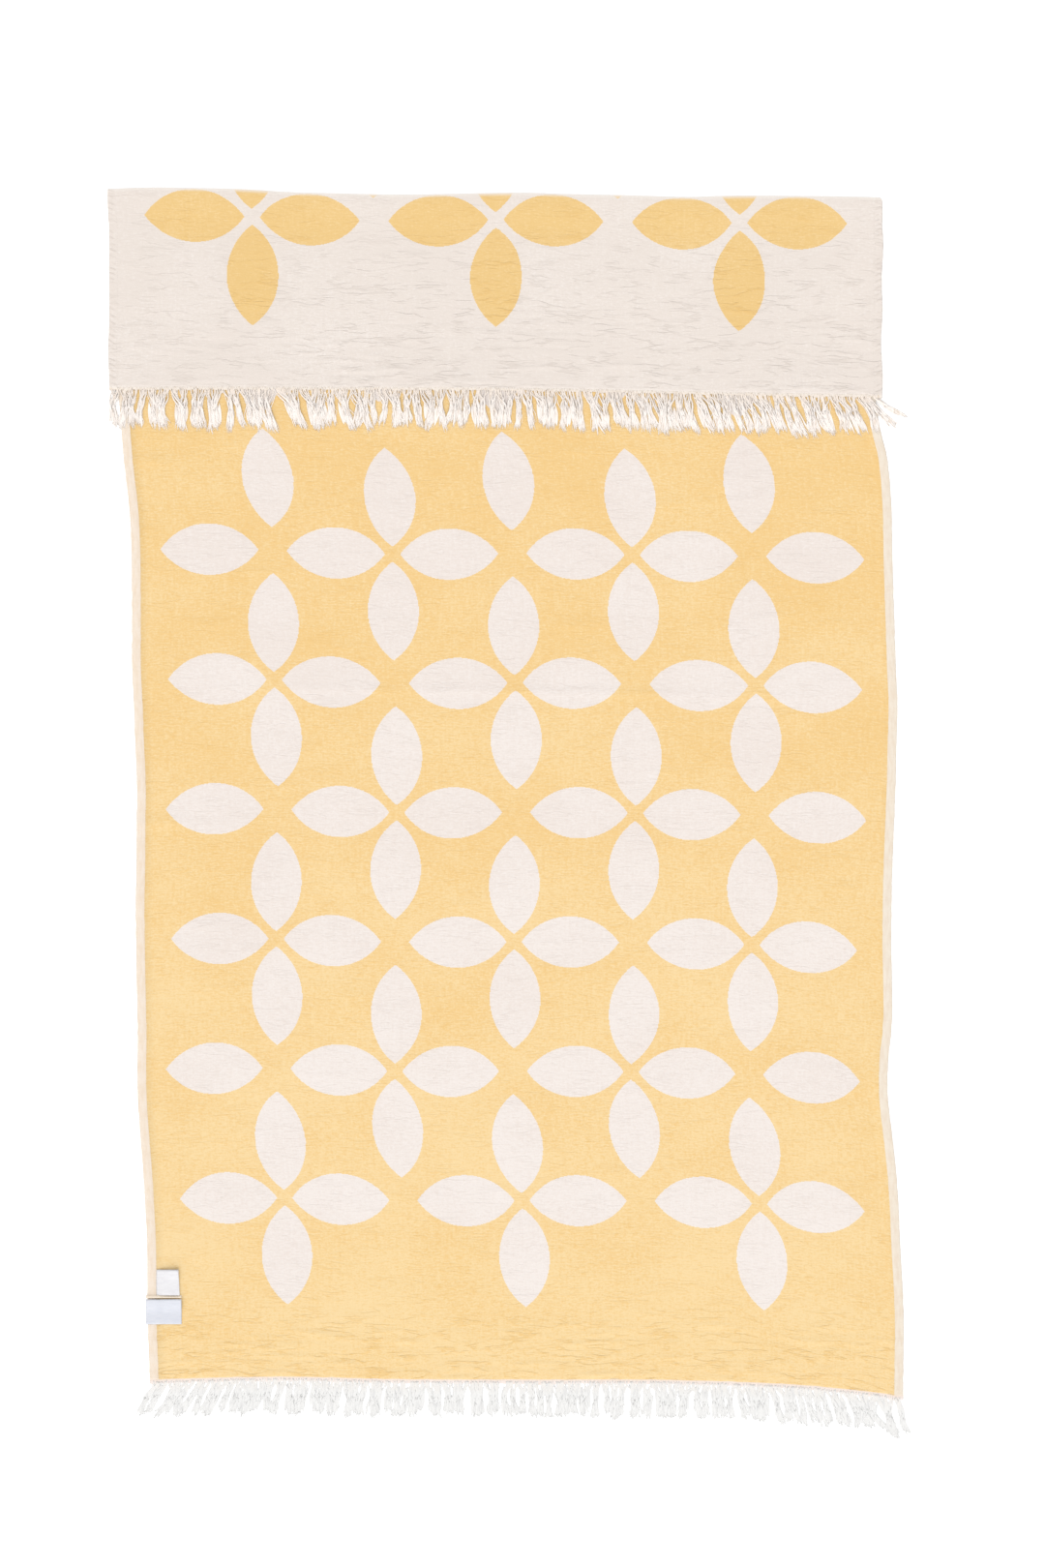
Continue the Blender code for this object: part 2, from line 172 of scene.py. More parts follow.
BODY_CREASES = (
    Crease(0.005, 0.156, -1, 1.040, 0.0050, 0.0009),
    Crease(-0.455, -0.015, 0, 0.120, 0.0080, 0.0010),
    Crease(-0.335, 0.311, 0, 0.150, 0.0060, 0.0006),
    Crease(-0.465, 0.458, 0, 0.090, 0.0070, 0.0010),
    Crease(-0.302, 0.123, 46, 0.040, 0.0045, 0.0010),
    Crease(-0.377, 0.245, 18, 0.049, 0.0045, 0.0007),
    Crease(-0.345, 0.196, 0, 0.034, 0.0045, 0.0005),
    Crease(0.104, 0.471, -2, 0.080, 0.0045, 0.0006),
    Crease(-0.440, -0.188, -83, 0.042, 0.0060, 0.0005),
    Crease(-0.417, -0.192, -90, 0.025, 0.0060, 0.0005),
    Crease(0.479, -0.355, -81, 0.081, 0.0060, 0.0010),
    Crease(0.112, -0.509, 6, 0.046, 0.0040, 0.0006),
    Crease(0.099, -0.695, 3, 0.114, 0.0030, 0.0008),
    Crease(0.032, -0.722, 2, 0.105, 0.0030, 0.0008),
    Crease(0.209, -0.715, 0, 0.080, 0.0030, 0.0007),
    Crease(-0.324, -0.688, 0, 0.068, 0.0030, 0.0006),
    Crease(-0.250, -0.682, 0, 0.054, 0.0030, 0.0006),
    Crease(-0.312, -0.701, 0, 0.080, 0.0030, 0.0007),
    Crease(-0.412, -0.734, 0, 0.105, 0.0030, 0.0006),
    Crease(0.123, -0.736, 0, 0.092, 0.0030, 0.0007),
)

# Small puckers, strewn where the shrunken weave crinkles: how many, where, and how long and high.
Strewn = namedtuple("Strewn", "count left right low high shortest longest half lift")
FLAP_PUCKERS = (
    Strewn(110, -0.50, 0.47, 0.548, 0.640, 0.015, 0.060, 0.0024, 0.0005),
    Strewn(80, -0.50, 0.47, 0.640, 0.790, 0.015, 0.060, 0.0028, 0.0003),
)
BODY_PUCKERS = (
    Strewn(100, -0.45, 0.49, -0.740, -0.670, 0.020, 0.070, 0.0026, 0.0006),
    Strewn(260, -0.46, 0.48, -0.670, 0.500, 0.020, 0.080, 0.0045, 0.0004),
)
PUCKER_TURN = 4             # degrees by which a pucker strays from the weft
PUCKER_LIFTS = (-0.8, 0.6, 1.0)
CREASE_STRAY = 0.0011       # how far a crease wanders off its straight line
CREASE_BEND = 0.012
CREASE_FADE = 0.4           # share of its length over which it dies out at either end

# The finer unevenness of the weave: how high it is, how long across and along, and its seed.
Crinkle = namedtuple("Crinkle", "height across along seed")
BODY_SWELLING = Crinkle(0.00035, 0.070, 0.045, 1.0)
BODY_END = Crinkle(0.00025, 0.030, 0.007, 2.0)
BODY_SIDE = Crinkle(0.0006, 1.0, 0.011, 3.0)
BODY_CUT = Crinkle(0.0008, 0.014, 1.0, 5.0)
BODY_SEAM = Crinkle(0.0003, 0.030, 0.009, 7.0)
FLAP_SWELLING = Crinkle(0.0003, 0.060, 0.035, 4.0)
FLAP_END = Crinkle(0.00025, 0.030, 0.007, 6.0)
FLAP_SEAM = Crinkle(0.0003, 0.030, 0.007, 8.0)
FLAP_SIDE = Crinkle(0.0006, 1.0, 0.011, 9.0)
FLAP_CUT = Crinkle(0.0008, 0.014, 1.0, 11.0)
SEAM_WIDTH = 0.010          # the hems' sewing puckers the cloth as far in as this
SEAM_FADE = 0.012
SIDE_FADE = 0.05
CUT_FADE = 0.02


def lerp(a, b, share):
    return a + (b - a) * share


def smooth(value):
    value = np.clip(value, 0.0, 1.0)
    return value * value * (3.0 - 2.0 * value)


def faded(place, start, over):
    """1 up to start, and down to 0 over this much more."""
    return 1.0 - smooth((place - start) / over)


def flow(table, key, place, column):
    """A column of a table, read on a smooth curve through its rows."""
    keys = np.array([getattr(row, key) for row in table])
    values = np.array([getattr(row, column) for row in table])
    slopes = np.gradient(values, keys)
    place = np.clip(place, keys[0], keys[-1])
    k = np.clip(np.searchsorted(keys, place, side="right") - 1, 0, len(keys) - 2)
    span = keys[k + 1] - keys[k]
    t = (place - keys[k]) / span
    start = (1 + 2 * t) * (1 - t) ** 2 * values[k] + t * (1 - t) ** 2 * span * slopes[k]
    end = t * t * (3 - 2 * t) * values[k + 1] - t * t * (1 - t) * span * slopes[k + 1]
    return start + end


def strew(zones, seed):
    """Small puckers at random places in each zone, nearly along the weft."""
    chance = random.Random(seed)
    made = []
    for zone in zones:
        for _ in range(zone.count):
            x, y = chance.uniform(zone.left, zone.right), chance.uniform(zone.low, zone.high)
            turn, length = chance.gauss(0, PUCKER_TURN), chance.uniform(zone.shortest, zone.longest)
            lift = zone.lift * chance.choice(PUCKER_LIFTS)
            made.append(Crease(x, y, turn, length, zone.half, lift))
    return made


def crease_lift(creases, x, y):
    """Height that creases add at each point: soft ridges and troughs that die out at both ends."""
    total = np.zeros_like(x)
    for number, crease in enumerate(creases):
        turn = math.radians(crease.turn)
        ahead = (x - crease.x) * math.cos(turn) + (y - crease.y) * math.sin(turn)
        aside = (y - crease.y) * math.cos(turn) - (x - crease.x) * math.sin(turn)
        aside = aside - CREASE_STRAY * np.sin(ahead / CREASE_BEND + number)
        ends = smooth((crease.length / 2 - np.abs(ahead)) / (CREASE_FADE * crease.length))
        total += crease.lift * ends * np.exp(-((aside / crease.half) ** 2))
    return total


def rough(x, y, across, along, seed):
    """Smooth noise of about -1 to 1 with its own grain across and along."""
    points = zip(np.ravel(x) / across, np.ravel(y) / along)
    values = [noise.noise((a, b, seed)) for a, b in points]
    return np.array(values).reshape(np.shape(x))


def crinkled(kind, x, y):
    """This unevenness at each point, to either side of 0."""
    return kind.height * rough(x, y, kind.across, kind.along, kind.seed)


# These places count from a point of their own. The fold's left corner says where that is in the frame.
FOLD_CORNER = Vector((-0.5243, 0.8145))
box_low, box_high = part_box("towel_cloth")
shift = Vector((box_low[0] - FOLD_CORNER.x, box_high[1] - FOLD_CORNER.y, 0.0))

# Columns: stations over each turned hem, with the height of its rounded turning, and even ones between.
Station = namedtuple("Station", "inset height")
HEM_STATIONS = (
    Station(0.0, 0.45),
    Station(0.0012, 0.75),
    Station(0.0030, 0.93),
    Station(0.0070, 1.0),
    Station(0.0102, 0.95),
    Station(HEM_WIDTH, 0.75),
    Station(HEM_WIDTH + HEM_STEP, 0.0),
)
EVEN_FROM = 0.024           # share of the width at which the even columns start
EVEN_COLUMNS = 84
between = np.linspace(EVEN_FROM, 1.0 - EVEN_FROM, EVEN_COLUMNS)
hem_insets = np.array([station.inset for station in HEM_STATIONS])
hem_heights = [station.height for station in HEM_STATIONS]
share = np.concatenate((0 * hem_insets, between, 0 * hem_insets + 1.0))
inset = np.concatenate((hem_insets, 0 * between, -hem_insets[::-1]))
turned = hem_heights + [0.0] * len(between) + hem_heights[::-1]
across = (share - 0.5) * CLOTH_WIDTH + inset

# Rows along the cloth, finest where it crinkles, and coarse where the flap hides it.
Stretch = namedtuple("Stretch", "start end pitch")
BODY_STRETCHES = (
    Stretch(0.0, 0.08, 0.0018),
    Stretch(0.08, 1.30, 0.0043),
    Stretch(1.30, BODY_LENGTH, 0.012),
)
FLAP_STRETCHES = (
    Stretch(0.0, 0.15, 0.0030),
    Stretch(0.15, FLAP_LENGTH, 0.0017),
)


def spaced(stretches):
    """Places along these stretches, without the last one's end."""
    runs = []
    for stretch in stretches:
        steps = round((stretch.end - stretch.start) / stretch.pitch)
        runs.append(np.linspace(stretch.start, stretch.end, steps, endpoint=False))
    return np.concatenate(runs)


body_v = spaced(BODY_STRETCHES)
fold_turns = np.pi * np.arange(FOLD_STEPS) / FOLD_STEPS
flap_v = np.append(spaced(FLAP_STRETCHES), FLAP_LENGTH)

foot_line = flow(CROSS_LINES, "share", share, "foot")
fold_line = flow(CROSS_LINES, "share", share, "fold") - FOLD_REACH
near_corner = np.clip((across - CLOTH_WIDTH / 2) / CORNER_ROUND + 1.0, 0.0, 1.0)
fold_line = fold_line - CORNER_ROUND * (1.0 - np.sqrt(1.0 - near_corner ** 2))
flap_line = flow(CROSS_LINES, "share", share, "flap_end")


def uneven_side(kind, x, y, side):
    """The side edges' wandering to and fro, which dies out inwards."""
    outwards = np.where(share < 0.5, 1.0, -1.0)
    return outwards * crinkled(kind, np.zeros_like(x), y) * faded(side, 0.0, SIDE_FADE)


def body_places():
    """Where the body lies, from the foot to the fold: its grid is the side that faces down."""
    place = (body_v / BODY_LENGTH)[:, None]
    y = lerp(foot_line, fold_line, place)
    left, right = (flow(BODY_SIDES, "y", y, side) for side in ("left", "right"))
    x = lerp(left, right, share) + inset
    side = np.minimum(x - left, right - x)
    x = x + uneven_side(BODY_SIDE, x, y, side)
    y = y + crinkled(BODY_CUT, x, x * 0) * faded(body_v, 0.0, CUT_FADE)[:, None]
    z = crease_lift(BODY_CREASES + tuple(strew(BODY_PUCKERS, 4)), x, y)
    z = z + crinkled(BODY_SWELLING, x, y)
    z = z + crinkled(BODY_END, x, y) * faded(body_v, 0.05, 0.05)[:, None]
    z = z + np.abs(crinkled(BODY_SEAM, x, y)) * faded(side, SEAM_WIDTH, SEAM_FADE)
    pressed = 1.0 - faded(body_v, BODY_LENGTH - 0.09, 0.05)[:, None]
    z = lerp(np.maximum(BODY_REST + z, BODY_LOWEST), 0.2 * BODY_REST, pressed)
    return x, y, z * faded(body_v, BODY_LENGTH - 0.03, 0.03)[:, None]


def fold_places():
    """Half an oval round, as wide as the flap is at the fold."""
    turn = fold_turns[:, None]
    x = lerp(BODY_SIDES[-1].left, BODY_SIDES[-1].right, share) + inset + 0 * turn
    return x, fold_line + FOLD_REACH * np.sin(turn), FOLD_RADIUS * (1.0 - np.cos(turn)) + 0 * x


def flap_places():
    """Where the flap lies, from the fold to its end: its grid is the side that faces up."""
    place = (flap_v / FLAP_LENGTH)[:, None]
    y = lerp(fold_line, flap_line, place)
    left, right = (flow(FLAP_SIDES, "y", y, side) for side in ("left", "right"))
    x = lerp(left, right, share) + inset
    start = lerp(BODY_SIDES[-1].left, BODY_SIDES[-1].right, share) + inset
    x = lerp(start, x, smooth(place * 8))
    side = np.minimum(x - left, right - x)
    x = x + uneven_side(FLAP_SIDE, x, y, side) * smooth(place * 10)
    near_hem = faded(side, HEM_WIDTH + HEM_STEP, HEM_SETTLE)
    held = np.maximum(near_hem, faded(fold_line - y, 0.0, FOLD_SETTLE))
    z = lerp(FLAP_TOP, 2 * FOLD_RADIUS, held)
    for swell in SWELLS:
        off = np.hypot((share - swell.across) / swell.reach_across, (place - swell.along) / swell.reach_along)
        z = z + swell.lift * smooth(1.0 - off) * (1.0 - held)
    free = smooth((fold_line - y) / 0.02)
    z = z + crease_lift(FLAP_CREASES + tuple(strew(FLAP_PUCKERS, 6)), x, y) * free
    z = z + crinkled(FLAP_SWELLING, x, y) * free
    z = z + crinkled(FLAP_END, x, y) * smooth((flap_v - 0.12) / 0.10)[:, None]
    z = z + np.abs(crinkled(FLAP_SEAM, x, y)) * faded(side, SEAM_WIDTH, SEAM_FADE) * free
    near_cut = 1.0 - faded(flap_v, FLAP_LENGTH - CUT_FADE, CUT_FADE)[:, None]
    return x, y + crinkled(FLAP_CUT, x, x * 0) * near_cut, z


zones = [body_places(), fold_places(), flap_places()]
cloth_x, cloth_y, cloth_z = (np.vstack([zone[axis] for zone in zones]) for axis in range(3))
round_turns = np.append(fold_turns, np.pi)
round_steps = np.hypot(FOLD_REACH * np.diff(np.sin(round_turns)), FOLD_RADIUS * np.diff(np.cos(round_turns)))
fold_v = BODY_LENGTH + np.concatenate(([0.0], np.cumsum(round_steps)))
cloth_v = np.concatenate((body_v, fold_v[:-1], flap_v + fold_v[-1]))
FLAP_START = len(body_v) + FOLD_STEPS


def finished(name, mesh, *looks):
    """Link a finished mesh as a piece with smooth faces."""
    made = bpy.data.objects.new(name, mesh)
    for look in looks:
        mesh.materials.append(look)
    mesh.polygons.foreach_set("use_smooth", [True] * len(mesh.polygons))
    bpy.context.scene.collection.objects.link(made)
    return made


def laid_sheet(name, x, y, z, u, v, *looks):
    """A grid sheet through these places, rows of columns, with its own measures as its UV map."""
    rows, columns = x.shape
    bm = bmesh.new()
    bmesh.ops.create_grid(bm, x_segments=columns - 1, y_segments=rows - 1, size=0.5)
    mesh = bpy.data.meshes.new(name)
    bm.to_mesh(mesh)
    bm.free()
    places = np.stack((x + shift.x, y + shift.y, z), axis=-1).reshape(-1, 3)
    mesh.vertices.foreach_set("co", places.ravel())
    corners = np.empty(len(mesh.loops), dtype=np.int32)
    mesh.loops.foreach_get("vertex_index", corners)
    flat = np.stack(np.broadcast_arrays(u, v), axis=-1).reshape(-1, 2)
    mesh.uv_layers.new(name="cloth").data.foreach_set("uv", flat[corners].ravel())
    return finished(name, mesh, *looks)


def thicken(piece, thick, looks=1, group=None, thin_share=1.0):
    """Give an open sheet its thickness on the side it faces."""
    shell = piece.modifiers.new("thickness", "SOLIDIFY")
    shell.thickness = thick
    shell.offset = 1.0
    shell.use_quality_normals = True
    shell.material_offset = 1 if looks > 1 else 0
    shell.material_offset_rim = 2 if looks > 2 else 0
    if group:
        shell.vertex_group = group
        shell.thickness_vertex_group = thin_share


LAMP_GAIN = 1.55        # how far the lamps lift a white sheet over full white


def seen(*colour):
    """The colour of a cloth that looks like this, 0 to 255, under the lamps."""
    linear = [((part / 255 + 0.055) / 1.055) ** 2.4 / LAMP_GAIN for part in colour]
    return (*linear, 1.0)


# Each is a light, a deep and a painted shade colour, which the crinkle lines and side puckers darken towards.
YELLOW = seen(254, 224, 169), seen(248, 208, 140), seen(242, 194, 112)         # light, deep and in a crease
CREAM = seen(250, 241, 235), seen(243, 231, 223), seen(226, 213, 204)
REVERSE_CREAM = seen(249, 240, 233), seen(240, 229, 220), seen(223, 211, 201)
REVERSE_YELLOW = seen(251, 218, 160), seen(243, 205, 137), seen(232, 185, 106)
# Painted highlight on the round of the fold, lighter than the cloth, for the light that passes through it.
FOLD_PAINTED_LIGHT = seen(272, 264, 255)     # light passes through the thin round of the fold
HEM_LEFT = seen(251, 236, 219), seen(247, 228, 206)
HEM_RIGHT = seen(248, 236, 219), seen(243, 227, 207)


def node(tree, kind, *values, **settings):
    """Add a node with these settings, its sockets in order linked or set, and give its outputs."""
    made = tree.nodes.new(kind)
    for setting, value in settings.items():
        setattr(made, setting, value)
    for socket, value in zip(made.inputs, values):
        if isinstance(value, bpy.types.NodeSocket):
            tree.links.new(value, socket)
        elif value is not None:
            socket.default_value = value
    return made.outputs


def maths(tree, operation, *values):
    return node(tree, "ShaderNodeMath", *values, operation=operation)[0]


def times(tree, one, other):
    return maths(tree, "MULTIPLY", one, other)


def plus(tree, one, other):
    return maths(tree, "ADD", one, other)


def minus(tree, one, other):
    return maths(tree, "SUBTRACT", one, other)


def ramp(tree, value, low, high):
    """0 up to low, 1 from high on, and smooth between."""
    return node(tree, "ShaderNodeMapRange", value, low, high, interpolation_type="SMOOTHSTEP")[0]


def mixed(tree, share, one, other):
    """One colour turning into another."""
    made = tree.nodes.new("ShaderNodeMix")
    made.data_type = "RGBA"
    for socket, value in ((made.inputs[0], share), (made.inputs[6], one), (made.inputs[7], other)):
        if isinstance(value, bpy.types.NodeSocket):
            tree.links.new(value, socket)
        else:
            socket.default_value = value
    return made.outputs[2]


def grain(tree, u, v, per_u, per_v, detail=2.0, roughness=0.5, seed=0.0):
    """Noise with its own number of waves per metre across and along."""
    place = node(tree, "ShaderNodeCombineXYZ", times(tree, u, per_u), times(tree, v, per_v), seed)[0]
    return node(tree, "ShaderNodeTexNoise", place, None, 1.0, detail, roughness, noise_dimensions="3D")[0]


def start_look(name, rough_value, sheen):
    """A matt material that can be dressed, with its tree and its shader."""
    look = bpy.data.materials.new(name)
    look.use_nodes = True
    tree = look.node_tree
    shader = tree.nodes["Principled BSDF"]
    shader.inputs["Roughness"].default_value = rough_value
    shader.inputs["Specular IOR Level"].default_value = 0.25
    shader.inputs["Sheen Weight"].default_value = sheen
    shader.inputs["Sheen Roughness"].default_value = 0.5
    return look, tree, shader


def raise_bump(tree, shader, *layers):
    """Lay bumps over one another: each is a height and what its step from 0 to 1 measures in metres."""
    before = None
    for height, depth in layers:
        bump = tree.nodes.new("ShaderNodeBump")
        bump.inputs["Distance"].default_value = depth
        tree.links.new(height, bump.inputs["Height"])
        if before:
            tree.links.new(before, bump.inputs["Normal"])
        before = bump.outputs[0]
    tree.links.new(before, shader.inputs["Normal"])


# The motif: flowers of four pointed petals, in rows across the cloth and in half-drop rows between.
PETAL_MIDDLE = 0.0745           # from the flower's middle
PETAL_CIRCLE = 0.0788           # radius of the two circles whose shared space a petal is,
PETAL_OFFSET = 0.0453           # and how far their middles lie from its line
ROW_FIRST = 0.233
ROW_PITCH = 0.338
COLUMN_PITCH = 0.315
MAIN_ROWS = 0.09, 1.73
MAIN_COLUMNS = -0.47, 0.47
HALF_DROP_ROWS = 0.262, 1.556
HALF_DROP_WIDE = -0.462, 0.462
HALF_DROP_TALL = -0.30, 0.30
UNDER_FRINGE = 1.20, 1.30       # no petals point across here
LOOM_STEP_ACROSS = 0.0011
LOOM_STEP_ALONG = 0.0009


def petal(tree, along, aside):
    """1 inside the petal that points along: the space that two circles share."""
    one = maths(tree, "POWER", minus(tree, along, PETAL_MIDDLE), 2.0)
    other = maths(tree, "POWER", plus(tree, aside, PETAL_OFFSET), 2.0)
    return maths(tree, "LESS_THAN", plus(tree, one, other), PETAL_CIRCLE ** 2)


def from_nearest(tree, place, first, pitch):
    """How far this place is from the nearest of even steps."""
    offset = maths(tree, "WRAP", minus(tree, place, first), pitch / 2, -pitch / 2)
    return maths(tree, "ABSOLUTE", offset)


def flowers(tree, u, v, first_u, first_v):
    """Masks of the petals that point across and along, for one lattice of flowers."""
    from_u = from_nearest(tree, u, first_u, COLUMN_PITCH)
    from_v = from_nearest(tree, v, first_v, ROW_PITCH)
    return petal(tree, from_u, from_v), petal(tree, from_v, from_u)


def within(tree, value, low, high):
    return maths(tree, "COMPARE", value, (low + high) / 2, (high - low) / 2)


def motif(tree, u, v):
    """1 where the layers change places."""
    u = maths(tree, "SNAP", u, LOOM_STEP_ACROSS)
    v = maths(tree, "SNAP", v, LOOM_STEP_ALONG)
    wide, tall = flowers(tree, u, v, 0.0, ROW_FIRST)
    wide = times(tree, wide, minus(tree, 1.0, within(tree, v, *UNDER_FRINGE)))
    main = times(tree, maths(tree, "MAXIMUM", wide, tall), within(tree, v, *MAIN_ROWS))
    main = times(tree, main, within(tree, u, *MAIN_COLUMNS))
    wide, tall = flowers(tree, u, v, COLUMN_PITCH / 2, ROW_FIRST + ROW_PITCH / 2)
    wide = times(tree, wide, within(tree, u, *HALF_DROP_WIDE))
    tall = times(tree, tall, within(tree, u, *HALF_DROP_TALL))
    half_drop = times(tree, maths(tree, "MAXIMUM", wide, tall), within(tree, v, *HALF_DROP_ROWS))
    return maths(tree, "MAXIMUM", main, half_drop)


# The weave: its threads, and how deep each unevenness of it is.
THREAD_ACROSS = 0.00085
THREAD_ALONG = 0.00095
TICK_PITCH = 0.0075         # of the slanting ticks beside the flap's sides
TICK_SLANT = 0.5
CREASE_DEEP = 0.00044
TICK_DEEP = 0.0003
WEFT_DEEP = 0.00028
WARP_DEEP = 0.00010
THREAD_DEEP = 0.00003


def crinkles(tree, u, v):
    """Thin, long, broken lines where the shrunken weave stands up, strongest near both ends: bumps and
    painted shade.
    """
    waves = grain(tree, u, v, 20.0, 100.0, 3.0, 0.5, 5.0)
    off_line = maths(tree, "ABSOLUTE", minus(tree, waves, 0.5))
    line = minus(tree, 1.0, ramp(tree, off_line, 0.0, 0.06))
    broken = ramp(tree, grain(tree, u, v, 26.0, 60.0, 2.0, 0.5, 6.0), 0.40, 0.62)
    near_foot = minus(tree, 1.0, ramp(tree, v, 0.03, 0.14))
    on_flap = plus(tree, 0.45, times(tree, ramp(tree, u, -0.50, -0.10), 0.55))
    on_flap = times(tree, on_flap, ramp(tree, v, 1.54, 1.72))
    strength = plus(tree, 0.42, times(tree, maths(tree, "MAXIMUM", on_flap, near_foot), 0.60))
    return times(tree, times(tree, line, broken), strength)


def side_ticks(tree, u, v, cloud):
    """Short slanting puckers beside the flap's sides, where the hem turned under it pulls: bumps and painted
    shade.
    """
    leaning = plus(tree, v, times(tree, maths(tree, "ABSOLUTE", u), TICK_SLANT))
    leaning = plus(tree, leaning, times(tree, cloud, 0.03))
    waves = maths(tree, "SINE", times(tree, leaning, 2 * math.pi / TICK_PITCH))
    broken = ramp(tree, grain(tree, u, v, 60.0, 60.0, 1.0, 0.5, 8.0), 0.35, 0.65)
    return times(tree, ramp(tree, waves, 0.0, 1.0), broken)


def woven(name, ground, figure, hems=None):
    """The double weave. Ground and figure are each a light, a deep and a painted crease-shade colour.

    The face has its hems, left and right, each a light and a deep colour. The reverse has a painted fold
    highlight.
    """
    look, tree, shader = start_look(name, 0.92, 0.25)
    place = node(tree, "ShaderNodeUVMap", uv_map="cloth")[0]
    u, v, _ = node(tree, "ShaderNodeSeparateXYZ", place)
    turned = motif(tree, u, v)
    weft = grain(tree, u, v, 110.0, 520.0, 2.0, 0.6, 1.0)
    warp = grain(tree, u, v, 300.0, 40.0, 2.0, 0.5, 2.0)
    fleck = grain(tree, u, v, 330.0, 420.0, 2.0, 0.5, 3.0)
    cloud = grain(tree, u, v, 7.0, 9.0, 2.0, 0.5, 4.0)
    uneven = times(tree, weft, 1.1)
    for part, weight in ((warp, 0.4), (fleck, 0.9), (cloud, 0.6), (v, 0.20)):
        uneven = plus(tree, uneven, times(tree, part, weight))
    deep = ramp(tree, uneven, 1.31, 1.96)
    crease = crinkles(tree, u, v)
    if hems:
        on_hem = maths(tree, "GREATER_THAN", maths(tree, "ABSOLUTE", u), CLOTH_WIDTH / 2 - HEM_WIDTH)
        crease = times(tree, crease, minus(tree, 1.0, on_hem))

    light, dark, fold = (mixed(tree, turned, one, other) for one, other in zip(ground, figure))
    # Painted shade: the crinkle lines darken towards the crease colour.
    colour = mixed(tree, times(tree, crease, 0.40), mixed(tree, deep, light, dark), fold)
    outer = CLOTH_WIDTH / 2 - 0.5 * HEM_WIDTH
    beside = ramp(tree, maths(tree, "ABSOLUTE", u), CLOTH_WIDTH / 2 - HEM_WIDTH, outer)
    if hems:
        light, dark = (mixed(tree, maths(tree, "GREATER_THAN", u, 0.0), *pair) for pair in zip(*hems))
        wear = ramp(tree, grain(tree, u, v, 260.0, 60.0, 2.0, 0.5, 7.0), 0.35, 0.70)
        colour = mixed(tree, on_hem, colour, mixed(tree, wear, light, dark))
        tick = times(tree, grain(tree, u, v, 40.0, 150.0, 1.0, 0.5, 8.0), beside)
    else:
        # Painted highlight: the strip over the round of the fold turns to a lighter colour.
        past_body = ramp(tree, v, BODY_LENGTH, BODY_LENGTH + 0.003)
        past_fold = ramp(tree, v, BODY_LENGTH + 0.0055, BODY_LENGTH + 0.0135)
        painted_glow = times(tree, past_body, minus(tree, 1.0, past_fold))
        colour = mixed(tree, painted_glow, colour, FOLD_PAINTED_LIGHT)
        tick = times(tree, side_ticks(tree, u, v, cloud), beside)
        # Painted shade: the side puckers darken towards the crease colour.
        colour = mixed(tree, times(tree, tick, 0.5), colour, fold)
    tree.links.new(colour, shader.inputs["Base Color"])

    over_under = times(tree, maths(tree, "SINE", times(tree, u, 2 * math.pi / THREAD_ACROSS)),
                       maths(tree, "SINE", times(tree, v, 2 * math.pi / THREAD_ALONG)))
    raise_bump(tree, shader, (crease, CREASE_DEEP), (tick, TICK_DEEP), (weft, WEFT_DEEP),
               (warp, WARP_DEEP), (over_under, THREAD_DEEP))
    return look


face_look = woven("weave_face", YELLOW, CREAM, (HEM_LEFT, HEM_RIGHT))
reverse_look = woven("weave_reverse", REVERSE_CREAM, REVERSE_YELLOW)
rim_look = woven("weave_edge", CREAM, YELLOW)

cloth = laid_sheet("towel", cloth_x, cloth_y, cloth_z, across, cloth_v[:, None],
                   face_look, reverse_look, rim_look)
hem_group = cloth.vertex_groups.new(name="turned")
for column, height in enumerate(turned):
    if height > 0.0:
        points = list(range(column, len(cloth.data.vertices), len(share)))
        hem_group.add(points, height, "REPLACE")
thicken(cloth, HEM_THICK, 3, "turned", CLOTH_THICK / HEM_THICK)
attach(cloth, "root")
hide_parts("towel_cloth")

# ----------------------------------------------------------------------------------------------------
# THE SEWING OF THE HEMS
# A lockstitch in beige cotton runs along the inner edge of each turned hem, through all its layers, and
# a finer pale row holds its outer edge. On the reverse they show as small stitches near the flap's sides.
# ----------------------------------------------------------------------------------------------------
STITCH_PITCH = 0.0036
STITCH_STRAY = 0.00012, 0.0003      # across and along
SEAM_START = 0.002                  # from the cut ends
SEAM_STOP = 0.004
INNER_STITCH = Vector((0.00022, 0.0012, 0.00024))
OUTER_STITCH = Vector((0.00020, 0.0010, 0.00015))
REVERSE_STITCH = Vector((0.00022, 0.0009, 0.00012))
Row = namedtuple("Row", "inset station height")
INNER_ROW = Row(0.0112, 5, 0.80 * HEM_THICK)
OUTER_ROW = Row(0.0020, 2, 0.84 * HEM_THICK)
REVERSE_ROW = Row(0.0107, 5, 0.0)


def stitch_look(name, colour):
    """Matt sewing cotton, a little uneven."""
    look, tree, shader = start_look(name, 0.8, 0.1)
    x, y, _ = node(tree, "ShaderNodeSeparateXYZ", node(tree, "ShaderNodeTexCoord")[3])
    tone = grain(tree, x, y, 300.0, 900.0, 1.0, 0.5, 1.0)
    deeper = (*(part * 0.8 for part in colour[:3]), 1.0)
    tree.links.new(mixed(tree, tone, colour, deeper), shader.inputs["Base Color"])
    raise_bump(tree, shader, (tone, 0.0001))
    return look


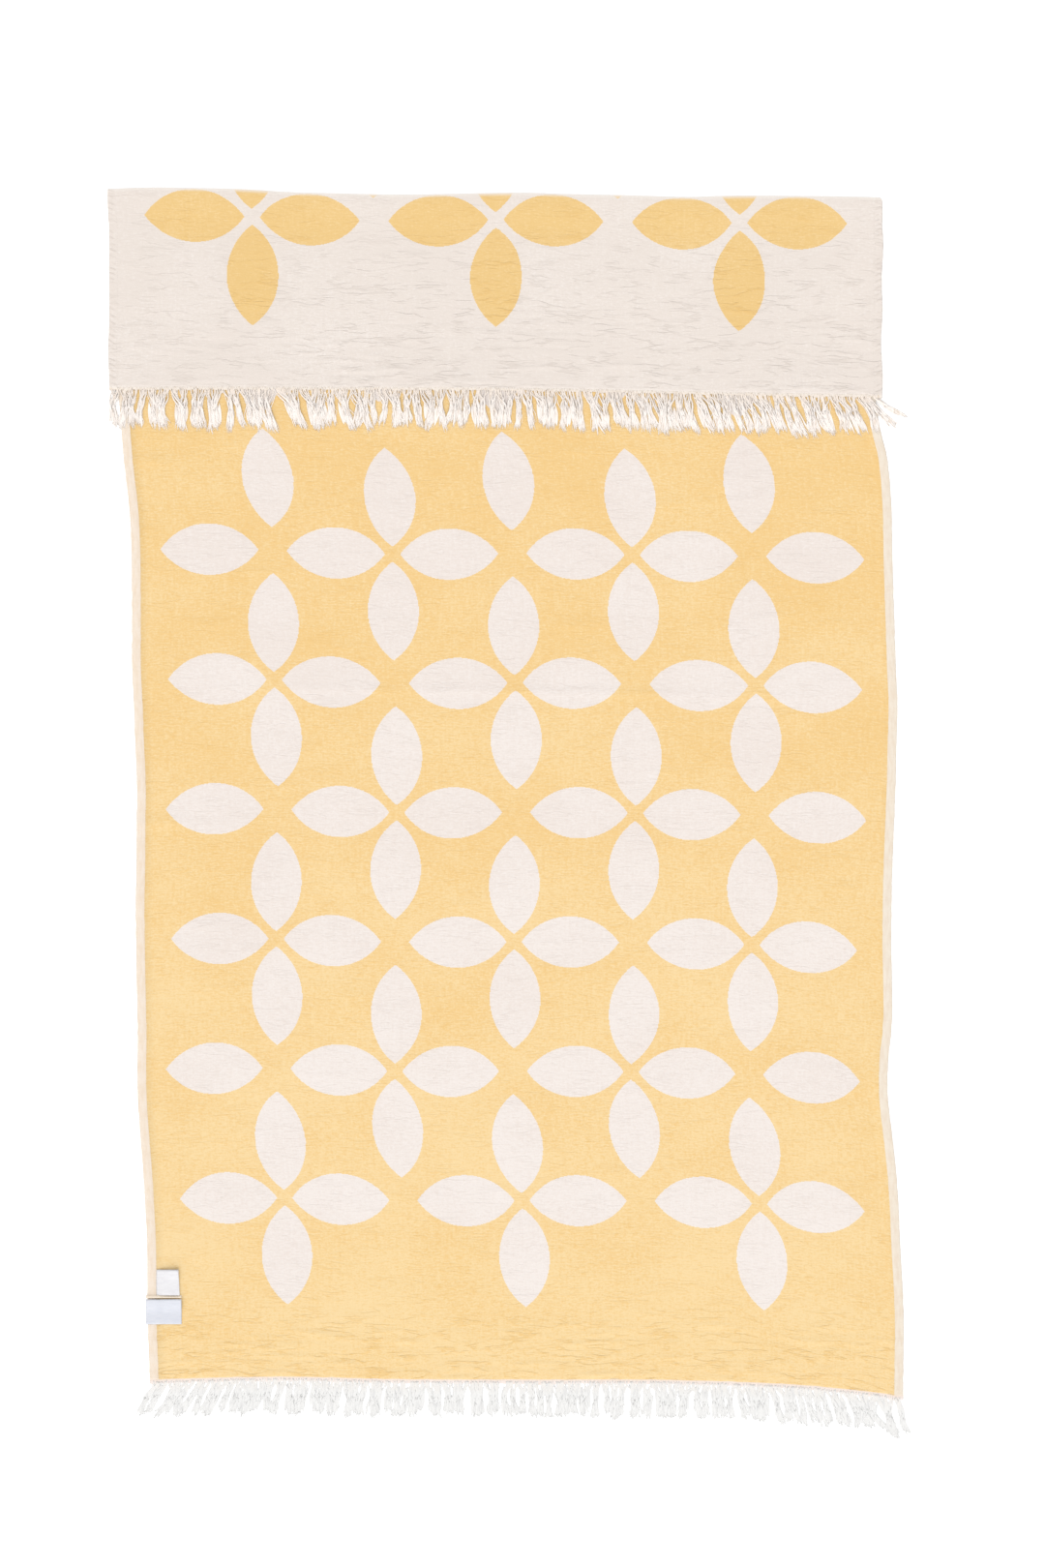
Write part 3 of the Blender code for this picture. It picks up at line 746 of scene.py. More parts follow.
def sew(name, first, last, row, size, look):
    """Lay one small stitch after another along both side hems, between these rows of the cloth."""
    bm = bmesh.new()
    bmesh.ops.create_icosphere(bm, subdivisions=1, radius=1.0)
    bmesh.ops.scale(bm, vec=size, verts=bm.verts)
    stitch = bpy.data.meshes.new("stitch")
    bm.to_mesh(stitch)
    bm.clear()
    order = np.argsort(cloth_y[first:last, 0]) + first
    stands = Vector()
    chance = random.Random(name)
    for side, station in ((1.0, row.station), (-1.0, len(share) - 1 - row.station)):
        y = cloth_y[order, station]
        x = cloth_x[order, station] + side * (row.inset - abs(inset[station]))
        for place in np.arange(y[0] + SEAM_START, y[-1] - SEAM_STOP, STITCH_PITCH):
            z = np.interp(place, y, cloth_z[order, station]) + row.height
            stray_x, stray_y = (chance.gauss(0, stray) for stray in STITCH_STRAY)
            goal = Vector((np.interp(place, y, x) + stray_x, place + stray_y, z)) + shift
            stitch.transform(Matrix.Translation(goal - stands))
            stands = goal
            bm.from_mesh(stitch)
    sewn = bpy.data.meshes.new(name)
    bm.to_mesh(sewn)
    bm.free()
    made = finished(name, sewn, look)
    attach(made, "root")


beige_thread = stitch_look("beige_thread", seen(229, 199, 150))
pale_thread = stitch_look("pale_thread", seen(244, 230, 214))
cream_thread = stitch_look("cream_thread", seen(240, 232, 224))
sew("hem_inner_stitches", 0, len(body_v), INNER_ROW, INNER_STITCH, beige_thread)
sew("hem_outer_stitches", 0, len(body_v), OUTER_ROW, OUTER_STITCH, pale_thread)
sew("flap_stitches", FLAP_START, len(cloth_v), REVERSE_ROW, REVERSE_STITCH, cream_thread)

# ----------------------------------------------------------------------------------------------------
# THE FRINGES
# The cut warp threads of both ends stand out past a narrow ragged heading, where the last weft threads
# lie. They are soft, twisted, off white, and cling together in uneven locks that fray at their tips.
# ----------------------------------------------------------------------------------------------------
HEADING_TUCK = 0.0010
HEADING_INSIDE = 0.00004        # how far its sides stay inside the cloth's
HEADING_WEAR = 0.0005           # how much thinner its outer edge is
HEADING_COLUMNS = 620
HEADING_ROWS = 7
HEADING_BACK = 0.0008           # how far its ragged edge stays back
SINK_CLEAR = 0.0002             # how far it stays off what it sinks towards
RAG = Crinkle(0.0024, 0.0024, 1.0, 3.0)
LONG_RAG = Crinkle(0.0024, 0.009, 1.0, 5.0)
THREAD_ENDS = Crinkle(0.00014, 0.0020, 0.008, 7.0)
LOCKS = 90
LOCK_WANDER = 0.0004            # how far a tip strays by itself
LOCK_CLING = 0.0029             # how far the tips of a clump draw together, for each pitch from its middle
LOCK_CLUMPS = (1, 2, 2, 3)
LOCK_UNEVEN = (0.88, 1.06)
LOCK_TIGHT = (0.35, 0.75)       # how close its strands draw, and how far down
LOCK_NECK = (0.40, 0.70)
LOCK_BOW = 0.0022
LOCK_CROSSINGS = (0.0,) * 6 + (-0.5, 0.5)       # some locks cross to a neighbour
Kind = namedtuple("Kind", "steps flare cross")     # how far it strays, at its tip and on its way
STRAND = Kind(13, 0.0012, 0.0010)
HAIR = Kind(10, 0.0028, 0.0022)
STRANDS = 7                     # of each lock
HAIRS = 3                       # loose ones between them
STRAND_SIZES = (0.75, 1.20)
HAIR_SIZE = 0.8
ROOT_REACH = 0.58               # how far a strand's root strays, in pitches of the locks
ROOT_INSIDE = 0.001
LENGTHS = (0.84, 1.0)           # of its lock's
WAVE_HIGH = (0.0003, 0.0011)
WAVE_LONG = (0.020, 0.034)
TUCKS = (0.0034, 0.0052)        # how far back on the heading a strand starts
ANY_TURN = (0.0, 6.28)
FIBRES = 4                      # that each strand frays into
FIBRE_SWELL = np.array((0.5, 0.9, 1.0, 0.9, 0.7, 0.3))
FIBRE_WIDE = 0.00070
FIBRE_STARTS = (0.36, 0.68)
FIBRE_STOPS = (0.96, 1.12)
FIBRE_CURL = 0.0003
FIBRE_CURLS = (9.0, 16.0)
BRUSH_SPREAD = 0.0016
FLUFFS = 2                      # flat masses of fibre in each lock, under its strands
FLUFF_WIDE = 0.0021
FLUFF_HIGH = 0.00014
FLUFF_SWELL = np.array((0.05, 0.40, 0.75, 1.0, 1.0, 0.9, 0.65, 0.2))
FLUFF_STOPS = (0.84, 0.92)
THIN_SIDE = math.radians(60)    # the sides of flat threads turn more sharply than this

# What differs between the fringes: the flap's is rounder and lies higher, the foot's is flat on the table.
Yarn = namedtuple("Yarn", "wide high fibre_high lift fluffs_from spread side")
FLAP_YARN = Yarn(0.00115, 0.00058, 0.00016, 0.0021, 0.24, 0.66, math.pi)
FOOT_YARN = Yarn(0.00140, 0.00034, 0.00012, 0.0008, -0.05, 0.74, THIN_SIDE)

# How far the locks lean to the right per length, along each end, how long they are, and where they part.
Lean = namedtuple("Lean", "share lean length")
FLAP_LEANS = (
    Lean(0.000, -0.05, 0.048),
    Lean(0.100, 0.02, 0.051),
    Lean(0.220, 0.28, 0.050),
    Lean(0.340, 0.10, 0.049),
    Lean(0.500, 0.05, 0.048),
    Lean(0.640, 0.22, 0.051),
    Lean(0.860, 0.34, 0.050),
    Lean(0.960, 0.36, 0.049),
    Lean(0.984, 0.60, 0.043),
    Lean(1.000, 1.50, 0.027),
)
FOOT_LEANS = (
    Lean(0.000, -0.56, 0.040),
    Lean(0.060, -0.42, 0.042),
    Lean(0.200, -0.15, 0.043),
    Lean(0.350, -0.05, 0.041),
    Lean(0.500, 0.04, 0.043),
    Lean(0.700, -0.04, 0.043),
    Lean(0.850, 0.26, 0.045),
    Lean(0.960, 0.36, 0.047),
    Lean(1.000, 0.24, 0.048),
)
Parting = namedtuple("Parting", "x push")
FLAP_PARTINGS = (
    Parting(-0.363, 0.004),
    Parting(-0.306, 0.006),
    Parting(-0.054, 0.004),
    Parting(0.017, 0.006),
    Parting(0.240, 0.004),
)
FOOT_PARTINGS = (
    Parting(-0.260, 0.003),
    Parting(-0.120, 0.003),
    Parting(0.290, 0.006),
)
PARTING_REACH = 0.016


def sinking(end, x, rest, out):
    """How far the loose weave sinks towards what it lies on, for out from 0 at the cloth to 1 at its edge."""
    gap = np.interp(x, end.x, end.low) - rest(x, np.interp(x, end.x, end.y) - end.heading) - SINK_CLEAR
    return end.sink * np.maximum(gap, 0.0) * out ** 2


def heading(name, end, rest, look):
    """The loosened last strip of the weave past one end of the cloth; it starts inside the cloth's edge."""
    x = np.linspace(end.x[0], end.x[-1], HEADING_COLUMNS)
    out = np.linspace(1.0, 0.0, HEADING_ROWS)[:, None]
    width = end.heading + HEADING_TUCK
    ragged = crinkled(RAG, x, x * 0) + crinkled(LONG_RAG, x, x * 0) - HEADING_BACK
    y = np.interp(x, end.x, end.y) + HEADING_TUCK - out * (width + ragged * out)
    low = np.interp(x, end.x, end.low) + HEADING_INSIDE
    thick = np.interp(x, end.x, end.top) - HEADING_INSIDE - low - HEADING_WEAR * out ** 2
    thick = thick + crinkled(THREAD_ENDS, x + 0 * y, y) * out
    made = laid_sheet(name, x + 0 * out, y, low - sinking(end, x, rest, out), x + 0 * out, out * width, look)
    group = made.vertex_groups.new(name="worn")
    for point, share_of_hem in enumerate((thick / HEM_THICK).ravel()):
        group.add([point], share_of_hem, "REPLACE")
    thicken(made, HEM_THICK, group="worn", thin_share=0.0)
    return made


def thread_outline(name, sides, wide, high):
    """The section of a thread, which is drawn along its line."""
    section = bpy.data.curves.new(name, "CURVE")
    section.dimensions = "2D"
    ring = section.splines.new("POLY")
    ring.points.add(sides - 1)
    for k, point in enumerate(ring.points):
        turn = 2 * math.pi * k / sides
        point.co = (wide * math.cos(turn), high * math.sin(turn), 0.0, 1.0)
    ring.use_cyclic_u = True
    made = bpy.data.objects.new(name, section)
    bpy.context.scene.collection.objects.link(made)
    return made


def thread_lines(name, section):
    """Lines, none yet, along which this section is drawn."""
    lines = bpy.data.curves.new(name, "CURVE")
    lines.dimensions = "3D"
    lines.twist_mode = "Z_UP"
    lines.use_fill_caps = True
    lines.bevel_mode = "OBJECT"
    lines.bevel_object = section
    return lines


def draw(lines, x, y, z, thickness):
    """Draw one thread through these places."""
    line = lines.splines.new("POLY")
    line.points.add(len(x) - 1)
    places = np.stack((x + shift.x, y + shift.y, z, np.ones_like(x)), axis=1)
    line.points.foreach_set("co", places.ravel())
    line.points.foreach_set("radius", thickness)


def spun(lines, first, side):
    """The lines as a mesh, sharp past the angle side; its UV map runs down each thread from first to 1."""
    wound = bpy.data.objects.new(lines.name, lines)
    bpy.context.scene.collection.objects.link(wound)
    reading = bpy.context.evaluated_depsgraph_get()
    mesh = bpy.data.meshes.new_from_object(wound.evaluated_get(reading))
    bpy.data.objects.remove(wound)
    bpy.data.curves.remove(lines)
    down = np.empty(2 * len(mesh.loops), dtype=np.float32)
    mesh.uv_layers["UVMap"].data.foreach_get("uv", down)
    down[0::2] = lerp(first, 1.0, down[0::2])
    mesh.uv_layers["UVMap"].data.foreach_set("uv", down)
    bm = bmesh.new()
    bm.from_mesh(mesh)
    for edge in bm.edges:
        edge.smooth = edge.calc_face_angle(0.0) < side
    bm.to_mesh(mesh)
    bm.free()
    return mesh


Lock = namedtuple("Lock", "middle tip length pitch tight neck bow crossing")


def next_lock(number, clump, end, leans, partings, locks, loose):
    """Where a lock leaves the weave, how far its tip comes to lie from there, and how it hangs together."""
    here = number / (LOCKS - 1)
    shares = [row.share for row in leans]
    lean = np.interp(here, shares, [row.lean for row in leans])
    length = np.interp(here, shares, [row.length for row in leans]) * locks.uniform(*LOCK_UNEVEN)
    tip = lean * length + locks.uniform(-LOCK_WANDER, LOCK_WANDER) - LOCK_CLING * clump
    middle = lerp(end.x[0], end.x[-1], (2 * number + 1.5) / (2 * LOCKS + 1))
    for parting in partings:
        away = (middle - parting.x) / PARTING_REACH
        tip += parting.push * math.copysign(1.0, away) * math.exp(-away ** 2)
    pitch = (end.x[-1] - end.x[0]) / (LOCKS + 0.5)
    tight, neck = loose.uniform(*LOCK_TIGHT), loose.uniform(*LOCK_NECK)
    bow = loose.gauss(0, LOCK_BOW)
    return Lock(middle, tip, length, pitch, tight, neck, bow, loose.choice(LOCK_CROSSINGS) * pitch)


def lay_fluff(fluffs, k, lock, end, rest, yarn, loose):
    """Draw one flat mass of fibre under the strands of a lock."""
    start = yarn.fluffs_from + loose.uniform(0.0, 0.1)
    part = np.linspace(start, loose.uniform(*FLUFF_STOPS), len(FLUFF_SWELL))
    aside = 0.7 * ((k + 0.5) / FLUFFS - 0.5) * lock.pitch * lerp(1.0, yarn.spread, smooth(part))
    x = lock.middle + aside + lock.tip * part + lock.bow * np.sin(np.pi * part)
    y = np.interp(lock.middle, end.x, end.y) - end.heading - part * lock.length
    draw(fluffs, x, y, rest(x, y) + FLUFF_HIGH + 0.5 * yarn.high, FLUFF_SWELL)


def root_of(k, lock, loose):
    """How thick a strand is, how far from its lock's middle it lies, and where it leaves the weave."""
    if k >= STRANDS:
        aside = loose.uniform(-0.6, 0.6) * lock.pitch
        return HAIR_SIZE, aside, lock.middle + 0.8 * aside
    size = loose.uniform(*STRAND_SIZES)
    aside = ((k + 0.5) / STRANDS - 0.5 + loose.uniform(-0.12, 0.12)) * lock.pitch
    return size, aside, lock.middle + loose.uniform(-ROOT_REACH, ROOT_REACH) * lock.pitch


def fray(fibres, x, y, z, free, start, own, rest, yarn, loose):
    """Draw the fibres that a strand ends in, which spread from it and reach a little past its tip."""
    for _ in range(FIBRES):
        part = np.linspace(loose.uniform(*FIBRE_STARTS), loose.uniform(*FIBRE_STOPS), len(FIBRE_SWELL))
        past = np.maximum(part - 1.0, 0.0) * own
        side, spread = loose.uniform(-1.0, 1.0), smooth((part - part[0]) / (part[-1] - part[0]))
        fibre_x = np.interp(part, free, x) + past * (x[-1] - x[-3]) / (y[-3] - y[-1])
        fibre_x += side * (0.6 * yarn.wide + BRUSH_SPREAD * spread)
        fibre_x += FIBRE_CURL * np.sin(loose.uniform(*ANY_TURN) + part * loose.uniform(*FIBRE_CURLS))
        fibre_y = start - part * own
        above = np.interp(part, free, z - rest(x, y)) + loose.uniform(-0.2, 0.8) * yarn.high
        above = np.maximum(lerp(above, loose.uniform(0.0, 0.4 * yarn.lift), spread), 0.0)
        fibre_z = rest(fibre_x, fibre_y) + yarn.fibre_high + above
        draw(fibres, fibre_x, fibre_y, fibre_z, FIBRE_SWELL * loose.uniform(0.8, 1.2))


def lay_strand(strands, fibres, k, lock, end, rest, yarn, loose):
    """Draw one strand of a lock, frayed at its tip, or one of its loose hairs."""
    hair = k >= STRANDS
    kind = HAIR if hair else STRAND
    size, aside, root = root_of(k, lock, loose)
    root = min(max(root, end.x[0] + ROOT_INSIDE), end.x[-1] - ROOT_INSIDE)
    flare, cross = loose.gauss(0, kind.flare), loose.gauss(0, kind.cross)
    own = lock.length * loose.uniform(*LENGTHS)
    lift = loose.uniform(0.0, yarn.lift)
    wave, reach, phase = (loose.uniform(*least_most) for least_most in (WAVE_HIGH, WAVE_LONG, ANY_TURN))
    tuck = loose.uniform(*TUCKS)
    down = np.linspace(0.0, 1.0, kind.steps) ** 1.1 * (own + tuck)
    free = np.clip((down - tuck) / own, 0.0, 1.0)

    gathered = lerp(1.0, lock.tight, smooth(free / lock.neck))
    gathered += (yarn.spread - lock.tight) * smooth((free - lock.neck) / (1.0 - lock.neck))
    x = lerp(root, lock.middle + aside * gathered, smooth(free / 0.45)) + lock.tip * free
    x += lock.bow * np.sin(np.pi * free)
    x += lock.crossing * smooth(free / 0.6) + flare * smooth((free - 0.45) / 0.55)
    waves = wave * np.sin(phase + down * 2 * np.pi / reach)
    x += (cross * np.sin(2 * np.pi * free) + waves) * smooth(free / 0.2)
    start = np.interp(root, end.x, end.y) - end.heading
    y = start + tuck - down

    swell = lerp(0.35, 0.72, smooth(down / 0.004)) + 0.28 * smooth(free / 0.4)
    swell = swell * (1.0 - 0.65 * smooth((free - 0.6) / 0.4))
    high = (yarn.fibre_high if hair else yarn.high) * size * swell
    lying = rest(x, y) + high + lift * smooth(free / 0.25) * (1.0 - 0.7 * free)
    out = np.clip(1.0 - (tuck - down) / (end.heading + HEADING_TUCK), 0.0, 1.0)
    leaving = np.interp(root, end.x, end.top) - HEADING_WEAR * out ** 2 - sinking(end, root, rest, out)
    z = lerp(leaving - 0.4 * high, lying, smooth((down - tuck + 0.001) / 0.014))
    draw(fibres if hair else strands, x, y, z, swell * size)
    if not hair:
        fray(fibres, x, y, z, free, start, own, rest, yarn, loose)


def comb(name, end, rest, yarn, leans, partings, seed, look):
    """All threads of one fringe: each strand leaves the weave, joins its lock and frays into fibres."""
    locks = random.Random(seed)         # draws the same locks as the solids have
    clumps = []
    while len(clumps) < LOCKS:
        size = locks.choice(LOCK_CLUMPS)
        clumps += [k - (size - 1) / 2 for k in range(size)]
    loose = random.Random(seed + 50)    # draws how each strand strays in its lock
    sections = (thread_outline(name + "_strand", 4, yarn.wide, yarn.high),
                thread_outline(name + "_fibre", 3, FIBRE_WIDE, yarn.fibre_high),
                thread_outline(name + "_fluff", 4, FLUFF_WIDE, FLUFF_HIGH))
    strands, fibres, fluffs = (thread_lines(section.name + "_lines", section) for section in sections)
    for number, clump in enumerate(clumps[:LOCKS]):
        lock = next_lock(number, clump, end, leans, partings, locks, loose)
        for k in range(FLUFFS):
            lay_fluff(fluffs, k, lock, end, rest, yarn, loose)
        for k in range(STRANDS + HAIRS):
            lay_strand(strands, fibres, k, lock, end, rest, yarn, loose)

    bm = bmesh.new()
    for thread in (spun(strands, 0.0, yarn.side), spun(fibres, 0.6, THIN_SIDE), spun(fluffs, 0.4, THIN_SIDE)):
        bm.from_mesh(thread)
        bpy.data.meshes.remove(thread)
    for section in sections:
        bpy.data.curves.remove(section.data)
    bmesh.ops.remove_doubles(bm, verts=bm.verts, dist=1e-6)
    bmesh.ops.recalc_face_normals(bm, faces=bm.faces)
    for point in bm.verts:
        point.co.z = max(point.co.z, 0.0)
    mesh = bpy.data.meshes.new(name)
    bm.to_mesh(mesh)
    bm.free()
    return finished(name, mesh, look)


def heading_look(name, near, far, shade):
    """The cloth's own colour at its edge, turning to close rows of thread ends further out, with painted
    shade between them.
    """
    look, tree, shader = start_look(name, 0.92, 0.15)
    place = node(tree, "ShaderNodeUVMap", uv_map="cloth")[0]
    u, v, _ = node(tree, "ShaderNodeSeparateXYZ", place)
    tone = mixed(tree, ramp(tree, v, 0.0, 0.005), near, far)
    ends = grain(tree, u, v, 460.0, 110.0, 2.0, 0.5, 1.0)
    fluff = grain(tree, u, v, 300.0, 420.0, 2.0, 0.5, 2.0)
    dark = plus(tree, times(tree, ends, 0.6), times(tree, fluff, 0.5))
    # Painted shade: the gaps between the thread ends darken towards the shade colour.
    tree.links.new(mixed(tree, ramp(tree, dark, 0.50, 0.78), tone, shade), shader.inputs["Base Color"])
    raise_bump(tree, shader, (ends, 0.0004), (fluff, 0.0003))
    return look


def yarn_look(name, root, tip, shade):
    """Soft twisted thread, a little darker and warmer at its root."""
    look, tree, shader = start_look(name, 0.95, 0.35)
    down, around, _ = node(tree, "ShaderNodeSeparateXYZ", node(tree, "ShaderNodeUVMap", uv_map="UVMap")[0])
    x, y, _ = node(tree, "ShaderNodeSeparateXYZ", node(tree, "ShaderNodeTexCoord")[3])
    along = mixed(tree, ramp(tree, down, 0.05, 0.5), root, tip)
    uneven = grain(tree, x, y, 420.0, 60.0, 1.0, 0.5, 1.0)
    tree.links.new(mixed(tree, ramp(tree, uneven, 0.45, 0.75), along, shade), shader.inputs["Base Color"])
    turns = plus(tree, times(tree, down, 13.0), around)
    twist = maths(tree, "SINE", times(tree, turns, 4 * math.pi))
    raise_bump(tree, shader, (twist, 0.00004), (grain(tree, x, y, 1500.0, 500.0, 1.0, 0.5, 4.0), 0.00004))
    return look


body_rows = slice(0, len(body_v))
left_edge, right_edge = cloth_x[body_rows, 0], cloth_x[body_rows, -1]
left_y, right_y = cloth_y[body_rows, 0], cloth_y[body_rows, -1]


def body_rest(x, y):
    """Height of what a strand of the flap lies on: the body, its hem, or the table past its side."""
    inside = np.minimum(x - np.interp(y, left_y, left_edge), np.interp(y, right_y, right_edge) - x)
    on_hem = lerp(BODY_REST + HEM_THICK, BODY_REST + CLOTH_THICK, smooth((inside - HEM_WIDTH) / 0.004))
    return on_hem * smooth(1.0 + inside / 0.003)


def surface_rest(x, y):
    """Height of what a strand of the foot lies on, the table."""
    return 0.0 * (x + y)


End = namedtuple("End", "x y low top heading sink")
thick_there = np.array([lerp(CLOTH_THICK, HEM_THICK, height) for height in turned])
flap_end = End(cloth_x[-1], cloth_y[-1], cloth_z[-1] - thick_there, cloth_z[-1], 0.0045, 0.75)
foot_end = End(cloth_x[0], cloth_y[0], cloth_z[0], cloth_z[0] + thick_there, 0.0068, 0.92)
flap_heading = heading("flap_heading", flap_end, body_rest, heading_look(
    "flap_heading_ends", seen(243, 234, 226), seen(242, 231, 219), seen(226, 210, 190)))
foot_heading = heading("foot_heading", foot_end, surface_rest, heading_look(
    "foot_heading_ends", seen(250, 232, 216), seen(251, 238, 231), seen(240, 222, 210)))
flap_yarns = comb("flap_yarns", flap_end, body_rest, FLAP_YARN, FLAP_LEANS, FLAP_PARTINGS, 8,
                  yarn_look("flap_yarn", seen(256, 242, 229), seen(267, 258, 251), seen(247, 232, 218)))
foot_yarns = comb("foot_yarns", foot_end, surface_rest, FOOT_YARN, FOOT_LEANS, FOOT_PARTINGS, 3,
                  yarn_look("foot_yarn", seen(250, 245, 239), seen(250, 249, 247), seen(238, 237, 236)))
for piece in (flap_heading, flap_yarns, foot_heading, foot_yarns):
    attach(piece, "root")
    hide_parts("fringe_flap" if piece in (flap_heading, flap_yarns) else "fringe_foot")

# ----------------------------------------------------------------------------------------------------
# THE SMALL LABEL
# A short white woven tape, folded in half to the right and caught by the hem's inner stitching. It is
# left blank. Its fold stands up a little at the top corner.
# ----------------------------------------------------------------------------------------------------
TAPE_THICK = 0.00035
TAPE_LONG = 0.0296
TAPE_TOP = -0.5990
TAPE_WIDE = 0.0334
TAPE_SPLAY = 0.0014         # how much further its fold reaches at the bottom
TAPE_RADIUS = 0.0009        # of the fold
TAPE_LIFT = 0.0030          # how far the fold stands up at its top corner
TAPE_CLEAR = 0.0004
TAPE_INSIDE = 0.0002        # from the hem's inner edge
TAPE_PINCH = 0.25           # how far apart its ends are where they are caught, as a share of the fold
TAPE_DOWN_STEPS = 15
TAPE_SIDE_STEPS = 12
TAPE_ROUND_STEPS = 11
RIB_PITCH = 0.0006


def tape_look(name, light, deep, shine, rib):
    """Close narrow weaving in two near colours, its ribs across or along."""
    look, tree, shader = start_look(name, shine, 0.1)
    u, v, _ = node(tree, "ShaderNodeSeparateXYZ", node(tree, "ShaderNodeUVMap", uv_map="cloth")[0])
    ribs = maths(tree, "SINE", times(tree, u if rib == "u" else v, 2 * math.pi / RIB_PITCH))
    tone = grain(tree, u, v, 90.0, 500.0, 2.0, 0.5, 1.0)
    tree.links.new(mixed(tree, ramp(tree, tone, 0.3, 0.75), light, deep), shader.inputs["Base Color"])
    raise_bump(tree, shader, (ribs, 0.00003), (tone, 0.0002))
    return look


down = np.linspace(0.0, 1.0, TAPE_DOWN_STEPS)[None, :]
caught_at = float(flow(BODY_SIDES, "y", TAPE_TOP, "left")) + HEM_WIDTH + TAPE_INSIDE
span = TAPE_LONG - TAPE_RADIUS
under = np.linspace(0.0, 1.0, TAPE_SIDE_STEPS)[:-1]
around = np.linspace(0.0, np.pi, TAPE_ROUND_STEPS)
over = np.linspace(1.0, 0.0, TAPE_SIDE_STEPS)[1:]
round_rise = (1.0 - np.cos(around)) / 2
section_x = caught_at + np.concatenate((span * under, span + TAPE_RADIUS * np.sin(around), span * over))
section_rise = np.concatenate((0 * under, round_rise, lerp(TAPE_PINCH, 1.0, smooth(over / 0.3))))
section_lift = np.concatenate((0 * under, round_rise, smooth(over)))
tape_x = section_x[:, None] + TAPE_SPLAY * (down - 0.5) * (section_x[:, None] - caught_at) / span
tape_y = TAPE_TOP - TAPE_WIDE * down + 0 * tape_x
tape_z = BODY_REST + CLOTH_THICK + TAPE_CLEAR + 2 * TAPE_RADIUS * section_rise[:, None]
tape_z = tape_z + TAPE_LIFT * smooth(1.0 - down / 0.5) * section_lift[:, None]
steps = np.hypot(np.diff(section_x), np.diff(2 * TAPE_RADIUS * section_rise))
run = np.concatenate(([0.0], np.cumsum(steps)))
upwards = slice(None, None, -1)
small_label = laid_sheet(
    "small_label", tape_x[:, upwards], tape_y[:, upwards], tape_z[:, upwards],
    run[:, None] + 0 * tape_x, TAPE_WIDE * (1 - down[:, upwards]) + 0 * tape_x,
    tape_look("tape_weave", seen(247, 246, 248), seen(238, 236, 240), 0.7, "v"))
thicken(small_label, TAPE_THICK)
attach(small_label, "root")
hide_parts("label_small")

# ----------------------------------------------------------------------------------------------------
# THE CARE LABEL
# A single piece of white satin ribbon, sewn down over the side hem below the small label, and left blank.
# Its upper edge stands off below its narrow turned end, whose back is beige, and both reach past the side.
# ----------------------------------------------------------------------------------------------------
SATIN_THICK = 0.0003
SATIN_LONG = 0.0464
SATIN_TOP = -0.6373
SATIN_WIDE = 0.0330
SATIN_LIFT = 0.0032         # how far its upper edge stands off
SATIN_CLEAR = 0.0005
SATIN_OVERHANG = 0.0018
SATIN_SLOPE = 0.010         # length over which it comes down from the hem
SATIN_SLOT = 0.0016         # the dark gap between the ribbon and its turned end
SATIN_WAVE = 0.0003
SATIN_COLUMNS = 30
SATIN_ROWS = 16
TURNING_WIDE = 0.0032
TURNING_ROWS = 5

side_edge = float(flow(BODY_SIDES, "y", SATIN_TOP, "left"))
out = np.linspace(0.0, SATIN_LONG, SATIN_COLUMNS)[None, :]
fall = np.linspace(1.0, 0.0, SATIN_ROWS)[:, None]
over_hem = faded(out, SATIN_OVERHANG + HEM_WIDTH + HEM_STEP, SATIN_SLOPE)
under_satin = BODY_REST + lerp(CLOTH_THICK, HEM_THICK, over_hem)
satin_x = side_edge - SATIN_OVERHANG + out + 0 * fall
satin_y = SATIN_TOP - SATIN_WIDE * fall + 0 * out
satin_z = under_satin + SATIN_CLEAR + SATIN_LIFT * smooth(1.0 - fall / 0.6)
satin_z = satin_z + SATIN_WAVE * np.sin(out / 0.008) * (1.0 - fall)
care_label = laid_sheet(
    "care_label", satin_x, satin_y, satin_z, out + 0 * fall, SATIN_WIDE * (1.0 - fall) + 0 * out,
    tape_look("satin_ribbon", seen(231, 233, 241), seen(224, 227, 237), 0.4, "u"))

rise = np.linspace(0.0, 1.0, TURNING_ROWS)[:, None]
turn_x = side_edge - SATIN_OVERHANG + out + 0 * rise
turn_y = SATIN_TOP + SATIN_SLOT + TURNING_WIDE * rise + 0 * out
turn_z = under_satin + SATIN_LIFT * smooth(1.0 - rise) + SATIN_WAVE * np.sin(out / 0.007)
care_turning = laid_sheet(
    "care_label_turning", turn_x, turn_y, turn_z, turn_x, turn_y,
    tape_look("ribbon_back", seen(280, 264, 242), seen(272, 254, 230), 0.7, "v"))
for piece in (care_label, care_turning):
    thicken(piece, SATIN_THICK)
    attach(piece, "root")
    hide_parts("label_care")
